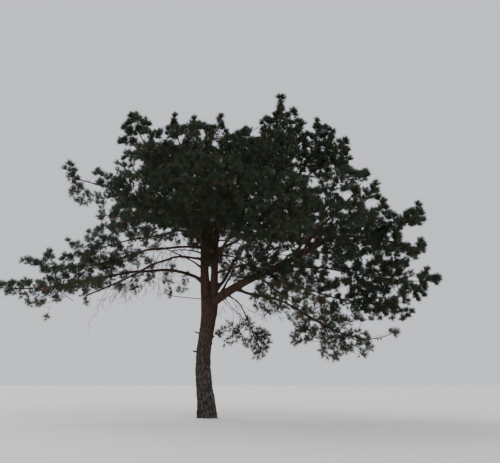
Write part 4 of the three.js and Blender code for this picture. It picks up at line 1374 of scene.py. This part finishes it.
class PINE_OT_trunk(bpy.types.Operator):
    """Trunk, second stem and great bough with plated and flaking bark"""

    bl_idname = "pine.trunk"
    bl_label = "Trunk"

    def execute(self, context):
        bark = context.scene.pine_bark
        limbs, _ = growth()
        thick = [limb_tube(limbs[name]) for name in THICK_LIMBS]
        rough = new_piece("trunk_rough", *joined([trunk_tube(), *thick, *collars(limbs)]))
        remesh = rough.modifiers.new("Join", "REMESH")
        remesh.mode = "VOXEL"
        remesh.voxel_size = bark.step
        soften = rough.modifiers.new("Soften", "SMOOTH")
        soften.iterations = SOFTENING
        mesh = evaluated_mesh(rough)
        carve_trunk(mesh, bark)
        cut_at_ground(mesh)
        piece = piece_of("trunk_bark", mesh)
        mesh.materials.append(bark_finish("Trunk bark", bark))
        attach(piece, BODY)
        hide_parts("trunk", *THICK_LIMBS)
        return {"FINISHED"}


# The boughs.
BOUGH_SIDES = 14
BOUGH_RING_STEP = 0.03
BOUGH_LEAST_RINGS = 8
BOUGH_WANDER = 0.06  # how far a bough may stray from its curve
BOUGH_WANDER_POWER = 0.7
BOUGH_WANDER_SCALE = 1.3
BOUGH_WANDER_RUN = 2  # a shorter bough strays less
KNOT_SWELL = 0.14
KNOT_SCALE = 3.4
BOUGH_END_SHARE = 0.92  # of its last radius
BOUGH_FLAKE_WIDTH = 0.035
BOUGH_FLAKE_DEPTH = 0.003
BOUGH_UNEVENNESS = 0.004


def bough_tube(limb, seed):
    """A bough that strays a little from its curve except at its ends, with knots."""
    rings = max(BOUGH_LEAST_RINGS, int(limb.run / BOUGH_RING_STEP))
    t = np.linspace(0, 1, rings)
    points = on_curve(limb.curve, t)
    side, lift = (direction[0] for direction in sides_of(way_on(limb.curve, t)[None]))
    line = np.stack([t * limb.run * BOUGH_WANDER_SCALE, np.full(rings, seed), np.zeros(rings)], -1)
    amount = BOUGH_WANDER * np.sin(np.pi * t) ** BOUGH_WANDER_POWER * min(1, limb.run / BOUGH_WANDER_RUN)
    points = points + side * (amount * uneven(line, scale=1, seed=1))[:, None]
    points = points + lift * (amount * uneven(line, scale=1, seed=8))[:, None]
    radii = limb.radius(t) * (1 + KNOT_SWELL * np.clip(uneven(line, KNOT_SCALE, seed=21), 0, 1))
    radii[-1] *= BOUGH_END_SHARE
    return tubes(points[None], radii[None], BOUGH_SIDES)


class PINE_OT_boughs(bpy.types.Operator):
    """Boughs with thin flaking bark, and the limbs too small for the frame"""

    bl_idname = "pine.boughs"
    bl_label = "Boughs"

    def execute(self, context):
        limbs, _ = growth()
        slim = [name for name in limbs if name not in THICK_LIMBS]
        shapes = [bough_tube(limbs[name], seed) for seed, name in enumerate(slim, 1)]
        piece = new_piece("bough_bark", *joined(shapes))
        places, normals = mesh_points(piece.data)
        flake = flakes(places, BOUGH_FLAKE_WIDTH, seed=13)
        depth = BOUGH_FLAKE_DEPTH * (1 - flake) - BOUGH_UNEVENNESS * uneven(places, scale=17, seed=2)
        # The flakes kept as relief mask the painted shade in the cracks between them.
        carve(piece.data, places, normals, depth, flake)
        piece.data.materials.append(bark_finish("Bough bark", context.scene.pine_bark))
        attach(piece, BODY)
        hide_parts(*[name for name in slim if name.startswith("bough_")])
        return {"FINISHED"}


# The twigs.
STEM_RINGS = 18
STEM_TUBE_SIDES = 8
MAIN_TWIG_SIDES = 5
FINE_TWIG_SIDES = 3
PIPE_POWER = 0.45  # a twig's radius grows with what it carries to this power
SHEATH_SIDES = 3
SHEATH_WIDEST = 0.6  # of a shoot's length
SHEATH_ROOT, *SHEATH_RING, SHEATH_TIP = range(SHEATH_SIDES + 2)  # the corners of a shoot's spindle


def carried(twigs):
    """How many tips each twig carries, itself among them."""
    weights = [1] * len(twigs)
    for k in reversed(range(len(twigs))):
        parent = twigs[k][1]
        if parent >= 0:
            weights[parent] += weights[k]
    return np.array(weights)


def twig_tubes(twigs, tip_radius):
    """Tubes for twigs of equal point counts, thicker where they carry more."""
    root_radii = tip_radius * carried(twigs) ** PIPE_POWER
    for rings, sides in ((MAIN_STEPS + 1, MAIN_TWIG_SIDES), (FINE_STEPS + 1, FINE_TWIG_SIDES)):
        rows = [k for k, (path, _) in enumerate(twigs) if len(path) == rings]
        if rows:
            shares = np.linspace(0, 1, rings)
            radii = root_radii[rows][:, None] * (1 - shares) + tip_radius * shares
            yield tubes(np.array([twigs[k][0] for k in rows]), radii, sides)


def stem_tube(mass):
    """A mass's stem, from what carries it to its furthest whorl."""
    t = np.linspace(0, mass.last, STEM_RINGS)
    radii = mass.root_radius + (STEM_END_RADIUS - mass.root_radius) * t
    return tubes(on_curve(mass.curve, t)[None], radii[None], STEM_TUBE_SIDES)


def shoot_tubes(foliage, radius):
    """The wood and sheaths inside the needles, as closed spindles whose dark colour is partly painted shade
    in the heart of each brush.
    """
    roots, ends = foliage.roots, foliage.ends
    ways = unit(ends - roots)
    side, lift = (direction[:, 0] for direction in sides_of(ways[:, None]))
    widest = (roots + (ends - roots) * SHEATH_WIDEST)[:, None]
    ring = widest + ring_ways(side, lift, SHEATH_SIDES) * radius
    vertices = np.concatenate([roots[:, None], ring, ends[:, None]], axis=1)
    around = list(zip(SHEATH_RING, SHEATH_RING[1:] + SHEATH_RING[:1]))
    corners = np.array([(SHEATH_ROOT, b, a) for a, b in around] + [(SHEATH_TIP, a, b) for a, b in around])
    faces = ((SHEATH_SIDES + 2) * np.arange(len(roots)))[:, None, None] + corners
    return vertices.reshape(-1, 3), faces.reshape(-1, 3).tolist()


class PINE_OT_twigs(bpy.types.Operator):
    """Twigs of the masses, one piece for each region of the crown"""

    bl_idname = "pine.twigs"
    bl_label = "Twigs"

    def execute(self, context):
        sizes = context.scene.pine_twigs
        _, foliage = growth()
        finish = twig_finish("Twig bark", sizes.bark)
        # The spindles inside the brushes get the sheath colour: partly sheaths and wood, partly painted
        # shade.
        sheath_and_shade = twig_finish("Needle sheaths", sizes.sheath_and_shade)
        for region, names in REGIONS.items():
            masses = [foliage[name] for name in names]
            stems = [stem_tube(grown.mass) for grown in masses if grown.mass]
            twigs = [tube for grown in masses for tube in twig_tubes(grown.twigs, sizes.tip_radius)]
            wood = joined(stems + twigs)
            radius = sizes.fine_core_radius if region in FINE_REGIONS else sizes.core_radius
            shoots = joined([shoot_tubes(grown, radius) for grown in masses])
            piece = new_piece(f"twigs_{region}", *joined([wood, shoots]))
            piece.data.materials.append(finish)
            piece.data.materials.append(sheath_and_shade)
            rows = np.zeros(len(piece.data.polygons), np.int32)
            rows[len(wood[1]):] = 1
            piece.data.polygons.foreach_set("material_index", rows)
            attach(piece, BODY)
            if region != INNER:
                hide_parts(*[f"needles_{name}" for name in names])
        return {"FINISHED"}


# The bare twigs under the crown. A habit is their spacing, how far they point down, and the longest.
PLAIN_HABIT = (0.3, 0.1, 0.85)
TRAILING_HABIT = (0.17, 0.7, 1.15)
TRAILING_LIMBS = (
    "bough_far_left", "bough_left_drooping", "bough_left_middle", "bough_lower_right", "bough_right_inner",
    "bough_hanging",
)
TWIGLESS_LIMBS = ("snag_low", "snag_high", "cone_twig")
BARE_SEED = 77
BARE_FIRST_SHARE = 0.28  # of a limb's run, from which bare twigs start
BARE_PLACE = (0.2, 0.8)  # of its part of the run, where a bare twig starts
BARE_ROLL = 0.5  # radians, either way
BARE_LEAN = (35, 70)
BARE_SHORTEST = 0.3
BARE_DROOP = (0.1, 0.7)
BARE_STRAYING = 0.13
BARE_STEPS = 6
BARE_THICKNESS = np.array([1.7, 1.1, 0.8])  # of a twig, its side twigs and theirs, in tip radii
BARE_END_SHARE = 0.5  # of the thickness
SIDE_TWIGS = (2, 4)  # from the first number to one below the second
SIDE_TWIG_JOINTS = (2, 6)  # in the same way
SIDE_TWIG_LEAN = (30, 65)
SIDE_TWIG_SHARE = (0.3, 0.6)  # of the length of the twig that carries it


def straying_path(root, way, length, droop, rng):
    """A twig's points as it wanders and sinks."""
    points, heading = [root], way
    for _ in range(BARE_STEPS):
        heading = unit(heading + rng.normal(0, BARE_STRAYING, 3) - UP * droop / BARE_STEPS)
        points.append(points[-1] + heading * length / BARE_STEPS)
    return np.array(points)


def bare_branch(root, way, length, rng, level=0):
    """A bare twig and its side twigs, as paths with a level for each."""
    path = straying_path(root, way, length, rng.uniform(*BARE_DROOP), rng)
    yield path, level
    if level < len(BARE_THICKNESS) - 1:
        for _ in range(rng.integers(*SIDE_TWIGS)):
            at = rng.integers(*SIDE_TWIG_JOINTS)
            along = unit(path[at] - path[at - 1])
            side = square_to(along, rng.uniform(0, 2 * math.pi))
            lean = turned(along, side, rng.uniform(*SIDE_TWIG_LEAN))
            yield from bare_branch(path[at], lean, length * rng.uniform(*SIDE_TWIG_SHARE), rng, level + 1)


def bare_branches(name, limb, rng):
    """A limb's bare twigs and their side twigs."""
    spacing, sink, longest = TRAILING_HABIT if name in TRAILING_LIMBS else PLAIN_HABIT
    count = int(limb.run / spacing)
    for k in range(count):
        share = BARE_FIRST_SHARE + (1 - BARE_FIRST_SHARE) * (k + rng.uniform(*BARE_PLACE)) / count
        way = way_on(limb.curve, share)[0]
        side = square_to(way, math.radians(GOLDEN_ANGLE * k) + rng.uniform(-BARE_ROLL, BARE_ROLL))
        lean = unit(turned(way, side, rng.uniform(*BARE_LEAN)) - UP * sink)
        root = on_curve(limb.curve, share)[0]
        yield from bare_branch(root, lean, rng.uniform(BARE_SHORTEST, longest), rng)


class PINE_OT_bare_twigs(bpy.types.Operator):
    """Fine bare twigs on the boughs, where the crown is open"""

    bl_idname = "pine.bare_twigs"
    bl_label = "Bare twigs"

    def execute(self, context):
        sizes = context.scene.pine_twigs
        limbs, _ = growth()
        rng = np.random.default_rng(BARE_SEED)
        branches = []
        for name, limb in limbs.items():
            if name not in THICK_LIMBS and name not in TWIGLESS_LIMBS:
                branches += bare_branches(name, limb, rng)
        paths = np.array([path for path, _ in branches])
        thick = sizes.tip_radius * BARE_THICKNESS[[level for _, level in branches]]
        radii = thick[:, None] * np.linspace(1, BARE_END_SHARE, BARE_STEPS + 1)
        piece = new_piece("twigs_bare", *tubes(paths, radii, FINE_TWIG_SIDES))
        piece.data.materials.append(twig_finish("Bare twig bark", sizes.bark))
        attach(piece, BODY)
        return {"FINISHED"}


# Geometry trees.
def new_tree(name, **inputs):
    """A geometry tree's graph with a link for its geometry and for each named input, an Int or a Float."""
    tree = bpy.data.node_groups.new(name, "GeometryNodeTree")
    graph = Graph(tree)
    inputs = {"Geometry": "Geometry", **{label.replace("_", " "): kind for label, kind in inputs.items()}}
    for label, kind in inputs.items():
        tree.interface.new_socket(label, in_out="INPUT", socket_type=f"NodeSocket{kind}")
    tree.interface.new_socket("Geometry", in_out="OUTPUT", socket_type="NodeSocketGeometry")
    given = tree.nodes.new("NodeGroupInput")
    return graph, *(Link(graph, given.outputs[label]) for label in inputs)


def end_tree(graph, made):
    """Give a geometry tree its output."""
    end = graph.tree.nodes.new("NodeGroupOutput")
    graph.tree.links.new(made.socket, end.inputs[0])
    return graph.tree


def grown_by(tree, start, name, values):
    """The plain mesh piece that a geometry tree makes from a start mesh, with named input values."""
    holder = piece_of(f"{name}_start", start)
    modifier = holder.modifiers.new("Grow", "NODES")
    modifier.node_group = tree
    for item in tree.interface.items_tree:
        if item.in_out == "INPUT" and item.name in values:
            modifier[item.identifier] = values[item.name]
    mesh = evaluated_mesh(holder)
    if not len(mesh.polygons):
        raise RuntimeError(f"{name}: the geometry tree made no faces")
    return piece_of(name, mesh, smooth=False)


# The needles.
NEEDLE_SEED = 11
NEEDLE_ROLL = 0.5  # radians, either way
NEEDLE_TILT = (-0.3, 0.45)  # radians
NEEDLE_LENGTH_SHARE = (0.75, 1.0)
KIND_TOLERANCE = 0.4  # under half the step from one kind's number to the next


def needle_blade(graph, width):
    """One needle of length one: a triangle that is stretched to a pointed blade and stands on its root."""
    blade = graph.node("GeometryNodeMeshCircle", {"fill_type": "NGON"}, {"Vertices": 3, "Radius": 1.0})
    shape = graph.node("ShaderNodeCombineXYZ", sockets={0: 2 / 3, 1: width / math.sqrt(3), 2: 1.0})
    place = {"Translation": (0, 0, 1 / 3), "Rotation": (0, -math.pi / 2, 0), "Scale": shape}
    return graph.node("GeometryNodeTransform", sockets={"Geometry": blade, **place})


def turned_by(graph, rotation, **angles):
    """A rotation with a turn about its own X and Z added to it."""
    turn = graph.node("ShaderNodeCombineXYZ", sockets=angles)
    turn = graph.node("FunctionNodeEulerToRotation", sockets={0: turn})
    sockets = {"Rotation": rotation, "Rotate By": turn}
    return graph.node("FunctionNodeRotateRotation", {"rotation_space": "LOCAL"}, sockets)


def needle_tree(finishes):
    """Geometry nodes that put needles round each edge of a mesh, which is one shoot from root to tip."""
    graph, edges, needles, length, width, root_tilt, tip_tilt, seed = new_tree(
        "Needles on shoots", Needles="Int", Length="Float", Width="Float", Root_tilt="Float",
        Tip_tilt="Float", Seed="Int",
    )

    def random_from(low, high, step):
        sockets = {2: low, 3: high, "ID": index, "Seed": seed + step}
        return graph.node("FunctionNodeRandomValue", {"data_type": "FLOAT"}, sockets, output=1)

    shoots = graph.node("GeometryNodeMeshToCurve", sockets={0: edges})
    shoots = graph.node("GeometryNodeResampleCurve", {"mode": "COUNT"}, {"Curve": shoots, "Count": needles})
    index = graph.node("GeometryNodeInputIndex")
    share = graph.node("GeometryNodeSplineParameter", output="Factor")
    along = graph.node("GeometryNodeInputTangent")
    base = graph.node("FunctionNodeAlignRotationToVector", {"axis": "Z"}, {"Vector": along})
    roll = index * math.radians(GOLDEN_ANGLE) + random_from(-NEEDLE_ROLL, NEEDLE_ROLL, step=1)
    tilt = root_tilt + (tip_tilt - root_tilt) * share + random_from(*NEEDLE_TILT, step=2)
    turn = turned_by(graph, base, X=tilt, Z=roll)
    turn = turned_by(graph, turn, Z=random_from(0.0, math.pi, step=4))
    reach = length * random_from(*NEEDLE_LENGTH_SHARE, step=3)
    scale = graph.node("ShaderNodeCombineXYZ", sockets={0: 1.0, 1: 1.0, 2: reach})
    sockets = {"Points": shoots, "Instance": needle_blade(graph, width), "Rotation": turn, "Scale": scale}
    made = graph.node("GeometryNodeInstanceOnPoints", sockets=sockets)
    made = graph.node("GeometryNodeRealizeInstances", sockets={0: made})
    kind = graph.node("GeometryNodeInputNamedAttribute", {"data_type": "FLOAT"}, {"Name": "kind"})
    for number, finish in enumerate(finishes):
        settings = {"data_type": "FLOAT", "operation": "EQUAL"}
        sockets = {0: kind, 1: float(number), "Epsilon": KIND_TOLERANCE}
        chosen = graph.node("FunctionNodeCompare", settings, sockets)
        sockets = {"Geometry": made, "Selection": chosen, "Material": finish}
        made = graph.node("GeometryNodeSetMaterial", sockets=sockets)
    return end_tree(graph, made)


class PINE_OT_needles(bpy.types.Operator):
    """Sprays of needles on every shoot, one piece for each region of the crown"""

    bl_idname = "pine.needles"
    bl_label = "Needles"

    def execute(self, context):
        sizes = context.scene.pine_needles
        _, foliage = growth()
        tree = needle_tree([
            needle_finish(f"Needles {kind}", getattr(sizes, kind)) for kind, _ in NEEDLE_KINDS
        ])
        values = {
            "Length": sizes.length, "Root tilt": sizes.root_tilt, "Tip tilt": sizes.tip_tilt,
            "Seed": NEEDLE_SEED,
        }
        for region, names in REGIONS.items():
            fine = region in FINE_REGIONS
            values["Needles"] = sizes.fine_count if fine else sizes.count
            values["Width"] = sizes.fine_width if fine else sizes.width
            masses = [foliage[name] for name in names]
            shoots = [np.stack([grown.starts, grown.ends], axis=1) for grown in masses]
            ends = np.vstack(shoots).reshape(-1, 3)
            start = bpy.data.meshes.new("shoots")
            start.from_pydata(ends, np.arange(len(ends)).reshape(-1, 2).tolist(), [])
            kinds = np.concatenate([grown.kinds for grown in masses])
            kind = start.attributes.new("kind", "FLOAT", "POINT")
            kind.data.foreach_set("value", np.repeat(kinds, 2).astype(float))
            piece = grown_by(tree, start, f"needles_{region}", values)
            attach(piece, BODY)
            if region != INNER:
                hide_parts(*[f"needles_{name}" for name in names])
        return {"FINISHED"}


# The cones.
CONE_SEED = 23
CONE_RINGS = 6
CONE_SIDES = 8
CONE_SCALES = 0.22  # how far every other corner stands out, as a share of the width
CONE_TAPER = 0.55
CONE_SWING = 0.5  # how far a cone hangs from upright
CONE_SETBACK = 0.12  # from the whorl's tip
CONE_HANG = 0.6  # of its length, from its twig to its middle
CONE_PAIR_SHARE = 0.87  # where two cones hang side by side on the twig that carries them
CONE_PAIR_GAP = 0.05


def cone_tree(finish):
    """Geometry nodes that put a cone on each point of a mesh, hanging along the point's aim."""
    graph, spots, length, width = new_tree("Cones on whorls", Length="Float", Width="Float")
    sockets = {"Segments": CONE_SIDES, "Rings": CONE_RINGS, "Radius": 0.5}
    body = graph.node("GeometryNodeMeshUVSphere", sockets=sockets)
    place = graph.node("GeometryNodeInputPosition")
    height = graph.node("ShaderNodeSeparateXYZ", sockets={0: place}, output=2)
    index = graph.node("GeometryNodeInputIndex")
    scale_edge = 1 + (graph.maths("MODULO", index, 2) - 0.5) * CONE_SCALES
    girth = width * scale_edge * (1 - height * CONE_TAPER)
    shape = graph.node("ShaderNodeCombineXYZ", sockets={0: girth, 1: girth, 2: length})
    shape = graph.node("ShaderNodeVectorMath", {"operation": "MULTIPLY"}, {0: place, 1: shape})
    body = graph.node("GeometryNodeSetPosition", sockets={"Geometry": body, "Position": shape})
    aim = graph.node("GeometryNodeInputNamedAttribute", {"data_type": "FLOAT_VECTOR"}, {"Name": "aim"})
    turn = graph.node("FunctionNodeAlignRotationToVector", {"axis": "Z"}, {"Vector": aim})
    points = graph.node("GeometryNodeMeshToPoints", sockets={0: spots})
    sockets = {"Points": points, "Instance": body, "Rotation": turn}
    made = graph.node("GeometryNodeInstanceOnPoints", sockets=sockets)
    made = graph.node("GeometryNodeRealizeInstances", sockets={0: made})
    made = graph.node("GeometryNodeSetMaterial", sockets={"Geometry": made, "Material": finish})
    return end_tree(graph, made)


class PINE_OT_cones(bpy.types.Operator):
    """Small woody cones that hang at some of the whorls"""

    bl_idname = "pine.cones"
    bl_label = "Cones"

    def execute(self, context):
        sizes = context.scene.pine_cones
        limbs, foliage = growth()
        rng = np.random.default_rng(CONE_SEED)
        spots, aims = [], []
        for grown in foliage.values():
            for tip, way in grown.whorls:
                if rng.random() < sizes.share:
                    aim = unit(-UP + rng.normal(0, CONE_SWING, 3))
                    spots.append(tip - way * CONE_SETBACK + aim * sizes.length * CONE_HANG)
                    aims.append(aim)
        twig = on_curve(limbs["cone_twig"].curve, CONE_PAIR_SHARE)[0]
        for beside in (-CONE_PAIR_GAP, CONE_PAIR_GAP):
            spots.append(twig + (beside, 0, -CONE_HANG * sizes.length))
            aims.append(-UP)
        start = bpy.data.meshes.new("cone_points")
        start.from_pydata(np.array(spots), [], [])
        aim = start.attributes.new("aim", "FLOAT_VECTOR", "POINT")
        aim.data.foreach_set("vector", np.array(aims).ravel())
        values = {"Length": sizes.length, "Width": sizes.width}
        piece = grown_by(cone_tree(cone_finish("Cone scales", sizes.colour)), start, "cones", values)
        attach(piece, BODY)
        return {"FINISHED"}


# The stage. A light's way is its heading from +X towards +Y and its angle above level, in degrees.
SOFTNESS = 40  # degrees across a light
BACK_LIGHT_WAY = (118, 38)
BACK_LIGHT_COLOUR = (1, 0.93, 0.86)
FRONT_LIGHT_WAY = (300, 35)
FRONT_LIGHT_COLOUR = (0.93, 0.96, 1)


def soft_light(name, way, strength, colour):
    """A broad soft light from far away."""
    heading, height = way
    lamp = bpy.data.lights.new(name, "SUN")
    lamp.angle = math.radians(SOFTNESS)
    lamp.energy = strength
    lamp.color = colour
    light = bpy.data.objects.new(name, lamp)
    light.rotation_euler = (math.radians(90 - height), 0, math.radians(heading + 90))
    bpy.context.scene.collection.objects.link(light)


class PINE_OT_stage(bpy.types.Operator):
    """Pale floor, soft light and the camera at the photograph's angle"""

    bl_idname = "pine.stage"
    bl_label = "Stage"

    def execute(self, context):
        stage = context.scene.pine_stage
        half = stage.floor_size / 2
        corners = [(-half, -half, 0), (half, -half, 0), (half, half, 0), (-half, half, 0)]
        floor = new_piece("floor", corners, [(0, 1, 2, 3)], smooth=False)
        floor.data.materials.append(floor_finish("Floor", stage.floor))
        floor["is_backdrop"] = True
        soft_light("back_light", BACK_LIGHT_WAY, stage.back_strength, BACK_LIGHT_COLOUR)
        soft_light("front_light", FRONT_LIGHT_WAY, stage.front_strength, FRONT_LIGHT_COLOUR)
        world = context.scene.world or bpy.data.worlds.new("World")
        context.scene.world = world
        world.use_nodes = True
        air = next(n for n in world.node_tree.nodes if n.type == "BACKGROUND")
        air.inputs["Color"].default_value = (*stage.air, 1)
        lens = bpy.data.cameras.new("camera")
        lens.sensor_width = SENSOR_WIDTH
        lens.lens = FOCAL_PIXELS * SENSOR_WIDTH / IMAGE_WIDTH
        lens.clip_end = 2 * stage.floor_size
        camera = bpy.data.objects.new("camera", lens)
        pitch, place = camera_place()
        camera.location = place
        camera.rotation_euler = (math.pi / 2 + pitch, 0, 0)
        context.scene.collection.objects.link(camera)
        context.scene.camera = camera
        return {"FINISHED"}


OPERATORS = (
    PINE_OT_trunk, PINE_OT_boughs, PINE_OT_twigs, PINE_OT_bare_twigs, PINE_OT_needles, PINE_OT_cones,
    PINE_OT_stage,
)


class PINE_PT_panel(bpy.types.Panel):
    """The tree's parts, sizes and colours"""

    bl_idname = "PINE_PT_panel"
    bl_label = "Scots pine"
    bl_space_type = "VIEW_3D"
    bl_region_type = "UI"
    bl_category = "Pine"

    def draw(self, context):
        for operator in OPERATORS:
            self.layout.operator(operator.bl_idname)
        for group in PROPERTY_GROUPS:
            box = self.layout.box()
            for name in PROPERTY_GROUPS[group].__annotations__:
                box.prop(getattr(context.scene, group), name)


def register():
    for name, group in PROPERTY_GROUPS.items():
        bpy.utils.register_class(group)
        setattr(bpy.types.Scene, name, bpy.props.PointerProperty(type=group))
    for kind in (*OPERATORS, PINE_PT_panel):
        bpy.utils.register_class(kind)


def unregister():
    for kind in reversed((*OPERATORS, PINE_PT_panel)):
        bpy.utils.unregister_class(kind)
    for name, group in PROPERTY_GROUPS.items():
        delattr(bpy.types.Scene, name)
        bpy.utils.unregister_class(group)


def write_sizes():
    """Put the frame's box and the finished model's box side by side; the result is not kept."""
    boxes = {"cad": CAD_BOX, "visual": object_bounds()}
    {name: [list(corner) for corner in box] for name, box in boxes.items()}


def main():
    register()
    bpy.ops.pine.trunk()
    bpy.ops.pine.boughs()
    bpy.ops.pine.twigs()
    bpy.ops.pine.bare_twigs()
    bpy.ops.pine.needles()
    bpy.ops.pine.cones()
    bpy.ops.pine.stage()
    write_sizes()


if __name__ == "__main__":
    main()
